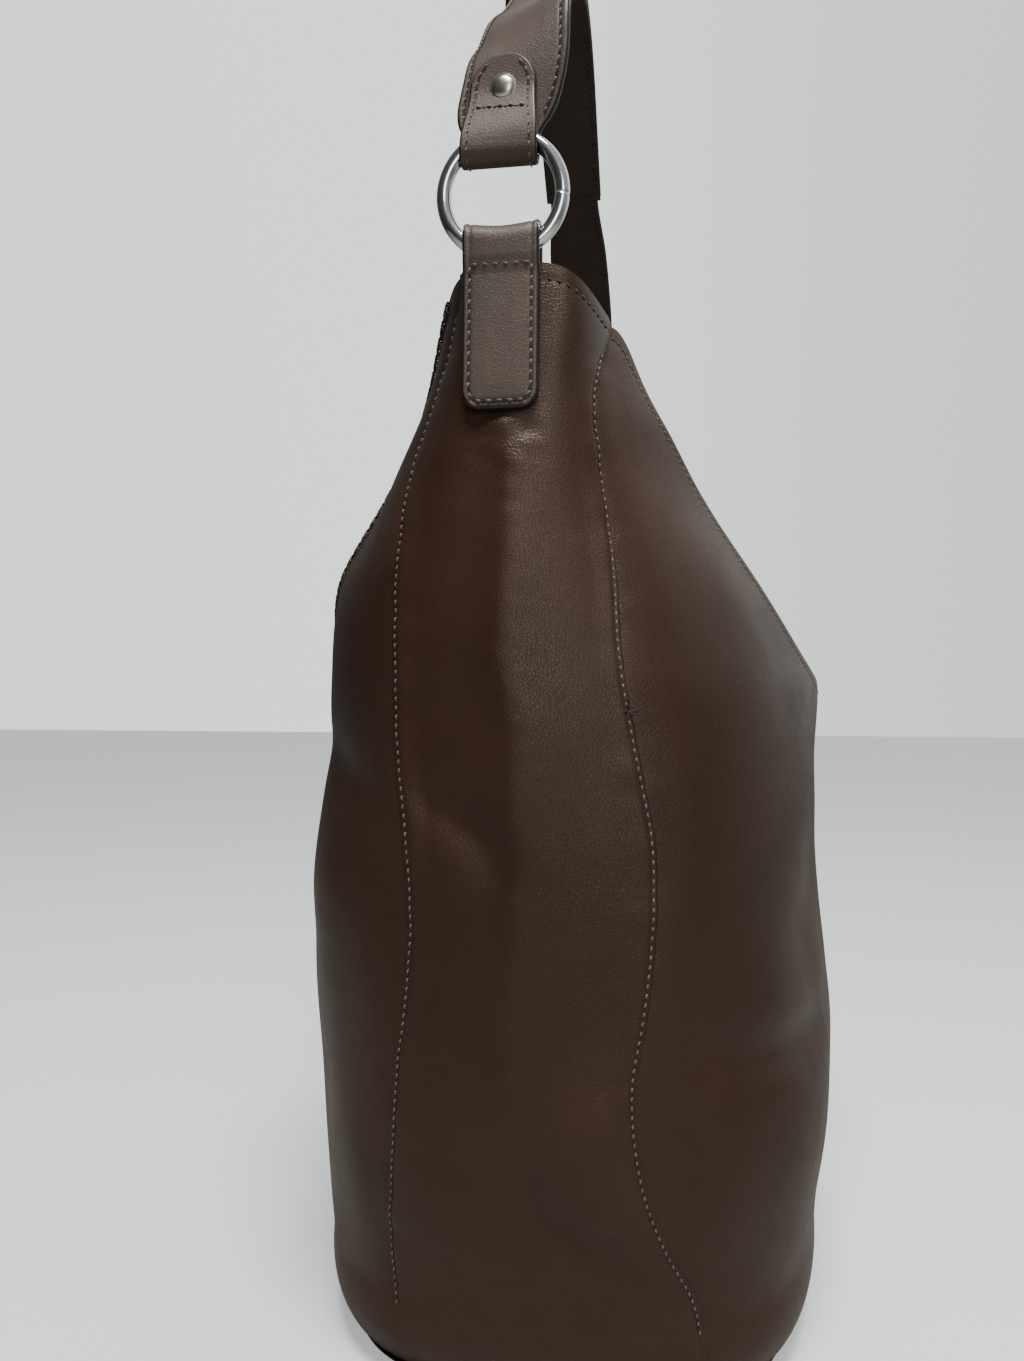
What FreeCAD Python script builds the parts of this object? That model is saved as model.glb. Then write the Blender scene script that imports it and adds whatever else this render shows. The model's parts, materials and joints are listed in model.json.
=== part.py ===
import FreeCAD, Part
import math
import os

from FreeCAD import Vector

# A leather hobo bag: two side panels, two end gussets and a base, with a strap on two rings.
# X runs along the bag, Y from the laced front (-Y) to the plain back (+Y), Z up.
# The origin is under the middle of the bag, at the height of what it stands on. Millimetres.

# Body outline
LEATHER = 1.6            # thickness of the outer panels
LINING = 0.7
BASE_EDGE_HEIGHT = 30.0  # height and width of the rounding along the bottom edge
BASE_EDGE_INSET = 22.0
# Half length, half depth and squareness of the horizontal section at a few heights
HALF_LENGTH = [(30, 172), (80, 181), (150, 184), (220, 182), (300, 176), (350, 172.5), (380, 171)]
HALF_DEPTH = [
    (30, 98), (90, 104.5), (160, 105), (206, 101), (236, 97.5), (271, 90.5), (307, 76), (346, 60), (380, 50),
]
# Middle of the section by height, half way along the bag
MIDDLE = [(0, -1), (60, 0), (150, 0), (206, 0), (236, 2), (271, 3), (307, 2), (380, 0)]
SQUARENESS = [(30, 3.0), (150, 2.8), (236, 2.5), (300, 2.15), (380, 2.0)]
# Half width of the gusset between its two seams
GUSSET_HALF = [
    (0, 52), (19, 52), (40, 50.7), (56, 47.2), (75, 43), (94, 40.5), (112, 39.5), (133, 39.7), (160, 40),
    (186, 40.8), (212, 39.9), (242, 38), (273, 37), (306, 33.8), (330, 29.5), (356, 24.3), (380, 22),
]
# Middle of the gusset by height
GUSSET_MIDDLE = [
    (0, 0), (19, -1), (40, -3.3), (56, -7.3), (75, -10), (94, -11), (112, -10.5), (133, -7.3), (160, -5),
    (186, -6.2), (212, -10.2), (242, -13.5), (273, -15), (306, -16.5), (330, -15), (356, -10), (380, -9),
]
# The ends of the bag lean towards the front with the rings
LEAN = [(0, 0.0), (120, 0.15), (200, 0.45), (260, 0.85), (320, 1.0), (380, 1.0)]
RING_Y = -15.0
RIM_LOW = 235.0          # height of the rim at mid length
RIM_CORNER = 355.0       # height of the rim where it meets the gussets
GUSSET_PEAK = 370.0      # top of the gusset, under the tab
GUSSET_EDGE_GAP = 0.985  # the gusset sheet stops just short of its seam
WALL_START = 0.046       # share of a wall's height that lies under the base plate's edge
BASE_OUT = 7.0           # how far the base plate reaches past the flat of the section
LAYER_GAP = 0.6          # between a wall and what lines it
FACING = 1.2

# Rings
RING_X = 170.0
RING_Z = 393.0
RING_R = 19.4            # to the middle of the wire
WIRE_R = 2.4
CLEAR = 0.4              # leather to wire

# Leather strips round the rings
STRIP = 2.0              # thickness
STRIP_HALF = 12.5        # half width
LOOP_R = WIRE_R + CLEAR + STRIP / 2
# Height of a loop's middle that keeps its edges clear of the ring's inner face
LOOP_H = math.sqrt((RING_R - WIRE_R) ** 2 - STRIP_HALF**2) + WIRE_R
TAB_BOTTOM = -71.0       # all heights of strips are above the ring's centre
TAB_INNER_BOTTOM = -60.0
TAB_CORNER = 6.5
TONGUE_TOP = 46.5
TONGUE_HALF = 11.4

# Strap, as a line half way through its thickness
STRAP_A = -(WIRE_R + CLEAR + 1.5)  # offset of the strap's line from the ring's plane
STRAP_RISE = 40.0        # where it leaves the vertical
STRAP_BEND_R = 38.0
STRAP_TURN = 53.0        # degrees from the vertical to the sloping run
STRAP_APEX_R = 70.0
PADDLE_END = 175.0       # length of line covered by a paddle, counted from the ring's centre height
STRAP_SQUARE_END = 154.0
STRAP_HALF = 15.3
PADDLE_PLY = (-0.5, 1.5)
PADDLE_LINING_PLY = (-1.6, -0.6)
CORE_PLY = (-1.5, 1.5)
STRAP_PLY = (1.6, 3.4)
STRAP_LINING_PLY = (-2.8, -1.7)
# Half width of a paddle at heights above the ring's centre
PADDLE_HALF = [
    (0, 12.5), (20, 12.7), (26, 15.6), (31, 17), (40, 17.6), (60, 18), (76, 18), (98, 16.6), (116, 13.6),
    (150, 13),
]

# Rivets
RIVET_H = 35.0
RIVET_CAP_R = 4.0
RIVET_POST_R = 1.4
RIVET_HOLE_R = 1.5

# Closure and pockets
SNAP_Z = 217.0
SNAP_R = 9.0
POCKET_HALF = 82.0
POCKET_LOW = 95.0
POCKET_HIGH = 205.0
POCKET_FACE = 75.0       # distance of a pocket's face from the middle of the bag
POCKET_DEPTH = 6.0
POCKET_PLY = 0.8
ZIP_Z = 188.0
ZIP_HALF = 70.0          # half length of the zip's slot
SLIDER_X = 58.0          # the closed zip's slider
LACE_PITCH = 6.2
LACE_LENGTH = 4.6        # of rim covered by one cluster of lacing
LACE_DEPTH = 6.0
FACING_DEPTH = 30.0


def knots(table, at):
    """Smooth value between the knots of a table."""
    if at <= table[0][0]:
        return table[0][1]
    if at >= table[-1][0]:
        return table[-1][1]
    i = max(k for k in range(len(table) - 1) if table[k][0] <= at)

    def slope(k):
        lo = max(k - 1, 0)
        hi = min(k + 1, len(table) - 1)
        return (table[hi][1] - table[lo][1]) / (table[hi][0] - table[lo][0])

    (a, va), (b, vb) = table[i], table[i + 1]
    t = (at - a) / (b - a)
    step = b - a
    return (
        va * (2 * t**3 - 3 * t**2 + 1)
        + slope(i) * step * (t**3 - 2 * t**2 + t)
        + vb * (3 * t**2 - 2 * t**3)
        + slope(i + 1) * step * (t**3 - t**2)
    )


def edge_inset(z):
    """How far the rounded bottom edge pulls the section in."""
    if z >= BASE_EDGE_HEIGHT:
        return 0.0
    t = 1 - z / BASE_EDGE_HEIGHT
    return BASE_EDGE_INSET * (1 - math.sqrt(max(0.0, 1 - t * t)))


def half_length(z):
    return knots(HALF_LENGTH, z) - edge_inset(z)


def half_depth(z):
    return knots(HALF_DEPTH, z) - edge_inset(z)


def lean(x, z):
    """Middle of the section at a place along the bag."""
    t = min(1.0, abs(x) / half_length(z) / 0.9)
    share = math.sin(math.pi / 2 * t) ** 2
    return RING_Y * knots(LEAN, z) * share + knots(MIDDLE, z) * (1 - share)


def seam_x(side, z):
    """Distance of the seam on one side from the middle of the bag."""
    n = knots(SQUARENESS, z)
    y = knots(GUSSET_MIDDLE, z) + side * knots(GUSSET_HALF, z)
    share = abs(y - RING_Y * knots(LEAN, z)) / half_depth(z)
    return half_length(z) * (1 - share**n) ** (1 / n)


def rim_height(u):
    """Height of the rim at the share u of its half length."""
    t = min(1.0, abs(u))
    return RIM_LOW + (RIM_CORNER - RIM_LOW) * (1 - math.cos(math.pi * t * t)) / 2


def height(v, top):
    """Height at the share v of a wall, with a fifth of it on the rounded edge."""
    if v < 0.2:
        return BASE_EDGE_HEIGHT * (1 - math.cos(math.pi / 2 * v / 0.2))
    return BASE_EDGE_HEIGHT + (v - 0.2) / 0.8 * (top - BASE_EDGE_HEIGHT)


def panel_point(side, u, z):
    x = u * seam_x(side, z)
    n = knots(SQUARENESS, z)
    y = side * half_depth(z) * (1 - abs(x / half_length(z)) ** n) ** (1 / n)
    return Vector(x, y + lean(x, z), z)


def gusset_top(w):
    return RIM_CORNER + (GUSSET_PEAK - RIM_CORNER) * (1 - abs(w) ** 1.6)


def gusset_point(end, w, z):
    flat = 3 + 5 * min(1.0, max(0.0, (z - 250) / 70))
    x = half_length(z) - (half_length(z) - seam_x(1 if w > 0 else -1, z)) * abs(w) ** flat
    return Vector(end * x, knots(GUSSET_MIDDLE, z) + w * knots(GUSSET_HALF, z), z)


def inward(place, u, v):
    """Unit normal of a wall, towards the inside of the bag."""
    step = 1e-4
    across = place(min(u + step, 1), v) - place(max(u - step, -1), v)
    up = place(u, min(v + step, 1)) - place(u, max(v - step, 0))
    normal = across.cross(up)
    normal.normalize()
    if normal.dot(Vector(0, 0, 150) - place(u, v)) < 0:
        normal = normal * -1
    return normal


def spread(low, high, count):
    return [low + (high - low) * i / (count - 1) for i in range(count)]


def bent_spread(reach, count):
    """Shares across a wall, close together at its seams."""
    return [reach * math.sin(math.pi / 2 * t) for t in spread(-1, 1, count)]


def wall_shares(low):
    """Shares of a wall's height, close together on its rounded bottom edge."""
    edge = [v for v in spread(0, 0.2, 9) if v > low + 0.01]
    return [low] + edge + spread(0.2, 1, 17)[1:]


def sheet(place, us, vs, outer, inner):
    """Closed solid between two depths under a wall."""
    faces = []
    for depth in (outer, inner):
        surface = Part.BSplineSurface()
        surface.interpolate([[place(u, v) + inward(place, u, v) * depth for v in vs] for u in us])
        faces.append(surface)
    first, second = faces
    u0, u1, v0, v1 = first.bounds()
    shapes = [first.toShape(), second.toShape()]
    for edge in (("u", u0), ("u", u1), ("v", v0), ("v", v1)):
        lines = [f.uIso(edge[1]) if edge[0] == "u" else f.vIso(edge[1]) for f in faces]
        shapes.append(Part.makeRuledSurface(lines[0].toShape(), lines[1].toShape()))
    shell = Part.makeShell(shapes)
    shell.sewShape()
    solid = Part.makeSolid(shell)
    if solid.Volume < 0:
        solid.reverse()
    return solid


def panel(side, outer, inner, reach=1.0, low=WALL_START, drop=0.0):
    """A side wall, or a lining under it that starts at a share `low` and stops `drop` below the rim."""

    def place(u, v):
        return panel_point(side, u, height(v, rim_height(u) - drop))

    return sheet(place, bent_spread(reach, 37), wall_shares(low), outer, inner)


def facing(side):
    """Leather band inside the rim."""

    def place(u, v):
        return panel_point(side, u, rim_height(u) - FACING_DEPTH * (1 - v))

    under = LEATHER + LAYER_GAP
    return sheet(place, bent_spread(0.965, 37), spread(0, 1, 5), under, under + FACING)


def gusset(end, outer, inner, reach, low=WALL_START, drop=0.0):
    def place(w, v):
        return gusset_point(end, w, height(v, gusset_top(w) - drop))

    return sheet(place, bent_spread(reach, 19), wall_shares(low), outer, inner)


def oval_plate(inset, low, high):
    """Plate in the shape of the base, smaller by inset."""
    n = knots(SQUARENESS, 0)
    a = half_length(0) - inset
    b = half_depth(0) - inset
    points = []
    for i in range(64):
        t = 2 * math.pi * i / 64
        c, s = math.cos(t), math.sin(t)
        points.append(
            Vector(a * math.copysign(abs(c) ** (2 / n), c), b * math.copysign(abs(s) ** (2 / n), s), low)
        )
    curve = Part.BSplineCurve()
    curve.interpolate(points, PeriodicFlag=True)
    return Part.Face(Part.Wire(curve.toShape())).extrude(Vector(0, 0, high - low))


def rim_frame(u):
    """Point on the front rim with the directions along it, into the bag and up in the panel."""

    def place(a, v):
        return panel_point(-1, a, height(v, rim_height(a)))

    point = place(u, 1)
    along = place(u + 1e-3, 1) - place(u - 1e-3, 1)
    along.normalize()
    into = inward(place, u, 1)
    up = into.cross(along)
    if up.z < 0:
        up = up * -1
    return point, along, into, up


def rim_lacing():
    """Clusters of lacing that go over the front rim, as U-shaped solids."""
    us = [-0.95]
    while us[-1] < 0.95:
        here = rim_frame(us[-1])[0]
        reach = (rim_frame(us[-1] + 0.01)[0] - here).Length
        us.append(us[-1] + 0.01 * LACE_PITCH / reach)
    solids = []
    inside = LEATHER + LAYER_GAP + FACING + 0.4
    cord = 0.8
    for u in us:
        point, along, into, up = rim_frame(u)

        def at(depth, rise):
            return point + into * depth + up * rise - along * (LACE_LENGTH / 2)

        outline = [
            at(-0.4, -LACE_DEPTH),
            at(-0.4, 0.5),
            at(inside, 0.5),
            at(inside, -LACE_DEPTH),
            at(inside + cord, -LACE_DEPTH),
            at(inside + cord, 0.5 + cord),
            at(-0.4 - cord, 0.5 + cord),
            at(-0.4 - cord, -LACE_DEPTH),
        ]
        face = Part.Face(Part.makePolygon(outline + outline[:1]))
        solids.append(face.extrude(along * LACE_LENGTH))
    return Part.makeCompound(solids)


def offset_line(path, offset):
    """Points beside a path of (a, h) points, to the left of its direction when offset is positive."""
    line = []
    for i, (a, h) in enumerate(path):
        before = path[max(i - 1, 0)]
        after = path[min(i + 1, len(path) - 1)]
        da, dh = after[0] - before[0], after[1] - before[1]
        length = math.hypot(da, dh)
        line.append((a - dh / length * offset, h + da / length * offset))
    return line


def ribbon(end, path, low, high, half_width):
    """Strip between two offsets from a path in the plane of the strap, as wide as asked."""
    edges = []
    sides = []
    for offset in (low, high):
        points = [
            Vector(end * (RING_X + a), RING_Y - half_width, RING_Z + h)
            for a, h in offset_line(path, offset)
        ]
        curve = Part.BSplineCurve()
        curve.interpolate(points)
        edges.append(curve.toShape())
        sides.append(points)
    edges.append(Part.makeLine(sides[0][0], sides[1][0]))
    edges.append(Part.makeLine(sides[0][-1], sides[1][-1]))
    wire = Part.Wire(Part.__sortEdges__(edges))
    return Part.Face(wire).extrude(Vector(0, 2 * half_width, 0))


def arc_points(centre, radius, start, stop, count):
    return [
        (centre[0] + radius * math.cos(math.radians(t)), centre[1] + radius * math.sin(math.radians(t)))
        for t in spread(start, stop, count)
    ]


def strap_line():
    """The strap's line from the ring's centre height up to the apex, as (a, h) points."""
    points = [(STRAP_A, h) for h in spread(0, STRAP_RISE, 9)]
    bend = (STRAP_A - STRAP_BEND_R, STRAP_RISE)
    points += arc_points(bend, STRAP_BEND_R, 0, STRAP_TURN, 10)[1:]
    slope = math.radians(90 - STRAP_TURN)
    a, h = points[-1]
    apex_start = -RING_X + STRAP_APEX_R * math.sin(slope)
    run = (a - apex_start) / math.cos(slope)
    for s in spread(0, run, 17)[1:]:
        points.append((a - s * math.cos(slope), h + s * math.sin(slope)))
    a, h = points[-1]
    top = (-RING_X, h - STRAP_APEX_R * math.cos(slope))
    points += arc_points(top, STRAP_APEX_R, STRAP_TURN, 90, 8)[1:]
    return points


def cut_line(path, start, stop):
    """The stretch of a path between two lengths along it."""
    kept = []
    length = 0.0
    for p, q in zip(path, path[1:]):
        step = math.dist(p, q)
        for mark in (start, stop):
            if length <= mark < length + step:
                t = (mark - length) / step
                kept.append((mark, (p[0] + (q[0] - p[0]) * t, p[1] + (q[1] - p[1]) * t)))
        length += step
        if start < length < stop:
            kept.append((length, q))
    if stop >= length:
        kept = [k for k in kept if k[0] < length] + [(length, path[-1])]
    kept.sort()
    points = [kept[0][1]]
    for _, point in kept[1:]:
        if math.dist(point, points[-1]) > 0.6:
            points.append(point)
    return points


def outline_block(end, half_at, low, high, round_low=0.0, round_high=0.0):
    """Block along X whose outline in YZ has the half width half_at(h)."""
    marks = spread(low, high, 41)
    for k in range(1, 7):
        share = 1 - math.cos(math.pi / 2 * k / 6)
        marks.append(low + round_low * share)
        marks.append(high - round_high * share)
    hs = []
    for h in sorted(marks):
        if not hs or h - hs[-1] > 0.08:
            hs.append(h)

    def half(h):
        w = half_at(h)
        for radius, gap in ((round_low, h - low), (round_high, high - h)):
            if gap < radius:
                w = w - radius + math.sqrt(max(0.0, radius**2 - (radius - gap) ** 2))
        return max(w, 0.5)

    right = [Vector(end * 60, RING_Y + half(h), RING_Z + h) for h in hs]
    left = [Vector(end * 60, RING_Y - half(h), RING_Z + h) for h in reversed(hs)]
    outline = right + left
    return Part.Face(Part.makePolygon(outline + outline[:1])).extrude(Vector(end * 130, 0, 0))


def tongue_path():
    """From the rounded end of the tongue down its outer face and round under the wire."""
    leg = PADDLE_PLY[1] + STRAP_A + 0.1 + STRIP / 2
    path = [(leg, h) for h in spread(TONGUE_TOP, 31, 6)]
    path += [(leg + 0.5, 28), (leg + 2.3, 25.2), (leg + 4.4, 22.5), (LOOP_R, 19.2)]
    path += [(LOOP_R, 17)]
    path += arc_points((0, LOOP_H), LOOP_R, 0, -180, 13)
    return path


def paddle(end):
    """Strap end: a shaped strip whose tongue goes round the ring and back up its outer face."""
    line = cut_line(strap_line(), LOOP_H, PADDLE_END)
    broad = ribbon(end, line, -PADDLE_PLY[1], -PADDLE_PLY[0], 22)
    broad = broad.common(outline_block(end, lambda h: knots(PADDLE_HALF, h), 0, 160))
    tongue = ribbon(end, tongue_path(), -STRIP / 2, STRIP / 2, STRIP_HALF)

    def tongue_half(h):
        return knots([(0, STRIP_HALF), (20, STRIP_HALF), (38, TONGUE_HALF), (60, TONGUE_HALF)], h)

    tongue = tongue.common(outline_block(end, tongue_half, 0, TONGUE_TOP, round_high=TONGUE_HALF))
    return broad.fuse(tongue).removeSplitter().cut(rivet_hole(end))


def paddle_lining(end):
    line = cut_line(strap_line(), 25.0, PADDLE_END)
    strip = ribbon(end, line, -PADDLE_LINING_PLY[1], -PADDLE_LINING_PLY[0], 22)
    shaped = strip.common(outline_block(end, lambda h: knots(PADDLE_HALF, h) - 0.3, 0, 160))
    return shaped.cut(rivet_hole(end))


def rivet_hole(end):
    start = Vector(end * (RING_X - 20), RING_Y, RING_Z + RIVET_H)
    return Part.makeCylinder(RIVET_HOLE_R, 30, start, Vector(end, 0, 0))


def dome(radius, rise, centre, direction):
    """Cap of a sphere with a flat back at centre."""
    sphere_r = (radius**2 + rise**2) / (2 * rise)
    ball = Part.makeSphere(sphere_r, centre + direction * (rise - sphere_r))
    keep = Part.makeCylinder(radius + 1, rise + 1, centre, direction)
    return ball.common(keep)


def rivet_caps():
    """Domed caps on the tongues with the posts behind them."""
    solids = []
    for end in (1, -1):
        face = end * (RING_X + STRAP_A + PADDLE_PLY[1] + 0.1 + STRIP + 0.05)
        centre = Vector(face, RING_Y, RING_Z + RIVET_H)
        post = Part.makeCylinder(RIVET_POST_R, 5.6, centre, Vector(-end, 0, 0))
        rim = Part.makeCylinder(RIVET_CAP_R, 0.5, centre, Vector(end, 0, 0))
        cap = dome(RIVET_CAP_R, 1.3, centre + Vector(end * 0.5, 0, 0), Vector(end, 0, 0))
        solids.append(cap.fuse(rim).fuse(post).removeSplitter())
    return Part.makeCompound(solids)


def rivet_backs():
    solids = []
    for end in (1, -1):
        face = end * (RING_X + STRAP_A + PADDLE_LINING_PLY[0] - 0.05)
        centre = Vector(face, RING_Y, RING_Z + RIVET_H)
        plate = Part.makeCylinder(3.5, 0.9, centre, Vector(-end, 0, 0))
        bore = Part.makeCylinder(RIVET_POST_R + 0.05, 0.6, centre, Vector(-end, 0, 0))
        solids.append(plate.cut(bore))
    return Part.makeCompound(solids)


def central_ply(ply, start):
    """One ply of the wide strap from one square end over the apex to the other."""
    half = cut_line(strap_line(), start, 1e6)
    whole = half + [(-2 * RING_X - a, h) for a, h in reversed(half[:-1])]
    return ribbon(1, whole, -ply[1], -ply[0], STRAP_HALF)


def tab(end):
    """Folded strip over the bottom of a ring, one leg outside the gusset and one inside."""
    gap = LEATHER + LAYER_GAP + LINING + 1.8
    outside = []
    inside = []
    for h in spread(-27, TAB_BOTTOM, 8):
        face = gusset_point(1, 0, RING_Z + h).x - RING_X
        outside.append((face + 0.2 + STRIP / 2, h))
    for h in spread(-27, TAB_INNER_BOTTOM, 7):
        face = gusset_point(1, 0, RING_Z + h).x - RING_X
        inside.append((face - gap - STRIP / 2, h))
    path = list(reversed(outside))
    path += [(LOOP_R - 0.1, -21)]
    path += arc_points((0, -LOOP_H), LOOP_R, 0, 180, 13)
    path += [(-LOOP_R + 0.1, -21)]
    path += inside
    strip = ribbon(end, path, -STRIP / 2, STRIP / 2, STRIP_HALF)
    block = outline_block(end, lambda h: STRIP_HALF, TAB_BOTTOM, 0, round_low=TAB_CORNER)
    return strip.common(block)


def ring(end):
    return Part.makeTorus(RING_R, WIRE_R, Vector(end * RING_X, RING_Y, RING_Z), Vector(1, 0, 0))


def box(x, y, z):
    return Part.makeBox(x[1] - x[0], y[1] - y[0], z[1] - z[0], Vector(x[0], y[0], z[0]))


def patch_pocket(side, open_top):
    """Shallow pocket that stands off a lining: a face with walls back towards the lining."""
    xs = (-POCKET_HALF, POCKET_HALF)
    ys = sorted((side * POCKET_FACE, side * (POCKET_FACE + POCKET_DEPTH)))
    zs = (POCKET_LOW, POCKET_HIGH)
    face = side * (POCKET_FACE + POCKET_PLY)
    inner_ys = sorted((face, side * (POCKET_FACE + POCKET_DEPTH + 1)))
    top = POCKET_HIGH + 1 if open_top else POCKET_HIGH - POCKET_PLY
    room = box((xs[0] + POCKET_PLY, xs[1] - POCKET_PLY), inner_ys, (POCKET_LOW + POCKET_PLY, top))
    return box(xs, ys, zs).cut(room)


def zip_pocket():
    slot = box((-ZIP_HALF, ZIP_HALF), (POCKET_FACE - 1, POCKET_FACE + 2), (ZIP_Z - 4, ZIP_Z + 4))
    return patch_pocket(1, False).cut(slot)


def zip_tape():
    back = POCKET_FACE + POCKET_PLY + 0.1
    tape = box((-ZIP_HALF - 6, ZIP_HALF + 6), (back, back + 0.5), (ZIP_Z - 12, ZIP_Z + 12))
    slot = box((-ZIP_HALF, ZIP_HALF), (back - 1, back + 1), (ZIP_Z - 0.2, ZIP_Z + 0.2))
    return tape.cut(slot)


def zip_teeth():
    """Two rows of teeth as bars, and a stop at each end."""
    front = POCKET_FACE - 0.9
    back = POCKET_FACE + POCKET_PLY
    solids = []
    for low, high in ((ZIP_Z - 2.2, ZIP_Z - 0.1), (ZIP_Z + 0.1, ZIP_Z + 2.2)):
        solids.append(box((-ZIP_HALF + 4, ZIP_HALF - 4), (front, back), (low, high)))
    for x in (-ZIP_HALF + 0.5, ZIP_HALF - 3.5):
        solids.append(box((x, x + 3), (front, back), (ZIP_Z - 3, ZIP_Z + 3)))
    return Part.makeCompound(solids)


def zip_slider():
    """Slider body over the teeth, with two lugs for the puller's pin."""
    front = POCKET_FACE - 2.6
    body = box((SLIDER_X - 5, SLIDER_X + 5), (front, POCKET_FACE - 0.2), (ZIP_Z - 3.6, ZIP_Z + 3.6))
    body = body.makeFillet(0.8, body.Edges)
    channel = box((SLIDER_X - 6, SLIDER_X + 6), (POCKET_FACE - 1.3, POCKET_FACE), (ZIP_Z - 2.6, ZIP_Z + 2.6))
    body = body.cut(channel)
    for low, high in ((ZIP_Z - 3.0, ZIP_Z - 2.0), (ZIP_Z + 2.0, ZIP_Z + 3.0)):
        body = body.fuse(box((SLIDER_X - 2, SLIDER_X + 2), (front - 2.4, front + 0.3), (low, high)))
    pin = Part.makeCylinder(0.5, 5, Vector(SLIDER_X, front - 1.3, ZIP_Z - 2.5), Vector(0, 0, 1))
    return body.fuse(pin).removeSplitter()


def zip_puller():
    """Flat pull with an eye round the slider's pin, lying back along the zip."""
    pin_y = POCKET_FACE - 3.9
    eye = Part.makeCylinder(1.1, 3.0, Vector(SLIDER_X, pin_y, ZIP_Z - 1.5), Vector(0, 0, 1))
    blade = box((SLIDER_X - 26, SLIDER_X - 0.5), (pin_y - 0.8, pin_y + 0.8), (ZIP_Z - 1.5, ZIP_Z + 1.5))
    bulb = box((SLIDER_X - 27, SLIDER_X - 9), (pin_y - 0.8, pin_y + 0.8), (ZIP_Z - 3.5, ZIP_Z + 3.5))
    pull = blade.fuse(bulb).fuse(eye).removeSplitter()
    return pull.cut(Part.makeCylinder(0.6, 6, Vector(SLIDER_X, pin_y, ZIP_Z - 3), Vector(0, 0, 1)))


def snap_face(side):
    """Where the face of the facing is, at the snap."""
    return side * (half_depth(SNAP_Z) - LEATHER - LAYER_GAP - FACING - 1.6) + knots(MIDDLE, SNAP_Z)


def snap_socket():
    y = snap_face(1)
    start = Vector(0, y - 3.2, SNAP_Z)
    disc = Part.makeCylinder(SNAP_R, 3.0, start, Vector(0, 1, 0))
    disc = disc.makeFillet(0.6, disc.Edges[:1])
    return disc.cut(Part.makeCylinder(3.2, 1.4, start, Vector(0, 1, 0)))


def snap_stud():
    y = snap_face(-1)
    start = Vector(0, y + 0.2, SNAP_Z)
    disc = Part.makeCylinder(SNAP_R, 1.8, start, Vector(0, 1, 0))
    nub = Part.makeCylinder(3.0, 1.2, start + Vector(0, 1.8, 0), Vector(0, 1, 0))
    return disc.fuse(nub).removeSplitter()


def main():
    os.makedirs("parts", exist_ok=True)
    under = LEATHER + LAYER_GAP
    nodes = {
        "front_panel": panel(-1, 0, LEATHER),
        "back_panel": panel(1, 0, LEATHER),
        "near_gusset": gusset(1, 0, LEATHER, GUSSET_EDGE_GAP),
        "far_gusset": gusset(-1, 0, LEATHER, GUSSET_EDGE_GAP),
        "base_panel": oval_plate(-BASE_OUT, 0, LEATHER),
        "base_board": oval_plate(1.5, LEATHER + 0.1, LEATHER + 2.6),
        "base_lining": oval_plate(0.5, LEATHER + 2.7, LEATHER + 2.7 + LINING),
        "front_lining": panel(-1, under, under + LINING, 0.98, 0.1, FACING_DEPTH + 1),
        "back_lining": panel(1, under, under + LINING, 0.98, 0.1, FACING_DEPTH + 1),
        "near_end_lining": gusset(1, under, under + LINING, 0.95, 0.1, 1.0),
        "far_end_lining": gusset(-1, under, under + LINING, 0.95, 0.1, 1.0),
        "front_facing": facing(-1),
        "back_facing": facing(1),
        "rim_lacing": rim_lacing(),
        "near_tab": tab(1),
        "far_tab": tab(-1),
        "near_ring": ring(1),
        "far_ring": ring(-1),
        "near_paddle": paddle(1),
        "far_paddle": paddle(-1),
        "near_paddle_lining": paddle_lining(1),
        "far_paddle_lining": paddle_lining(-1),
        "strap_core": central_ply(CORE_PLY, PADDLE_END + 0.3),
        "strap_outer": central_ply(STRAP_PLY, STRAP_SQUARE_END),
        "strap_lining": central_ply(STRAP_LINING_PLY, STRAP_SQUARE_END),
        "rivet_caps": rivet_caps(),
        "rivet_backs": rivet_backs(),
        "snap_socket": snap_socket(),
        "snap_stud": snap_stud(),
        "slip_pocket": patch_pocket(-1, True),
        "zip_pocket": zip_pocket(),
        "zip_tape": zip_tape(),
        "zip_teeth": zip_teeth(),
        "zip_slider": zip_slider(),
        "zip_puller": zip_puller(),
    }
    for name, shape in nodes.items():
        box_ = shape.BoundBox
        print(
            f"{name:20s} valid={shape.isValid()} solids={len(shape.Solids)} "
            f"vol={shape.Volume / 1000:8.2f} cm3 x {box_.XMin:7.1f} {box_.XMax:7.1f} "
            f"y {box_.YMin:7.1f} {box_.YMax:7.1f} z {box_.ZMin:6.1f} {box_.ZMax:6.1f}"
        )
        shape.exportStep(f"parts/{name}.step")


main()
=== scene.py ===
import json
import math

import bpy
import numpy as np
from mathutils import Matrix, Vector


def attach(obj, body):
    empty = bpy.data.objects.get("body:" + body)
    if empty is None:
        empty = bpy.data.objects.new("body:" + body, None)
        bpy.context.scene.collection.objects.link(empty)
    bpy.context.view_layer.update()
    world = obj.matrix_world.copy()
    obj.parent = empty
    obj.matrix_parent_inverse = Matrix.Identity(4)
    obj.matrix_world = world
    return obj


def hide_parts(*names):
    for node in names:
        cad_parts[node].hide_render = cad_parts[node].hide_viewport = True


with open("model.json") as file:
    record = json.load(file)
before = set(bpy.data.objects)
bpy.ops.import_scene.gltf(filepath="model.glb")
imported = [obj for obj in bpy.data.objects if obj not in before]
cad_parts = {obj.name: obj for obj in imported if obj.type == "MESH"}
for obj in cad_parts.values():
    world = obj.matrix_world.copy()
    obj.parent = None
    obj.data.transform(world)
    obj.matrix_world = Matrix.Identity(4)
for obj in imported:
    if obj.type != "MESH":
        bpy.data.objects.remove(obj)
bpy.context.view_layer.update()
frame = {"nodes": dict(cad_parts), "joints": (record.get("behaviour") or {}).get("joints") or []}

MM = 0.001

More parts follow.
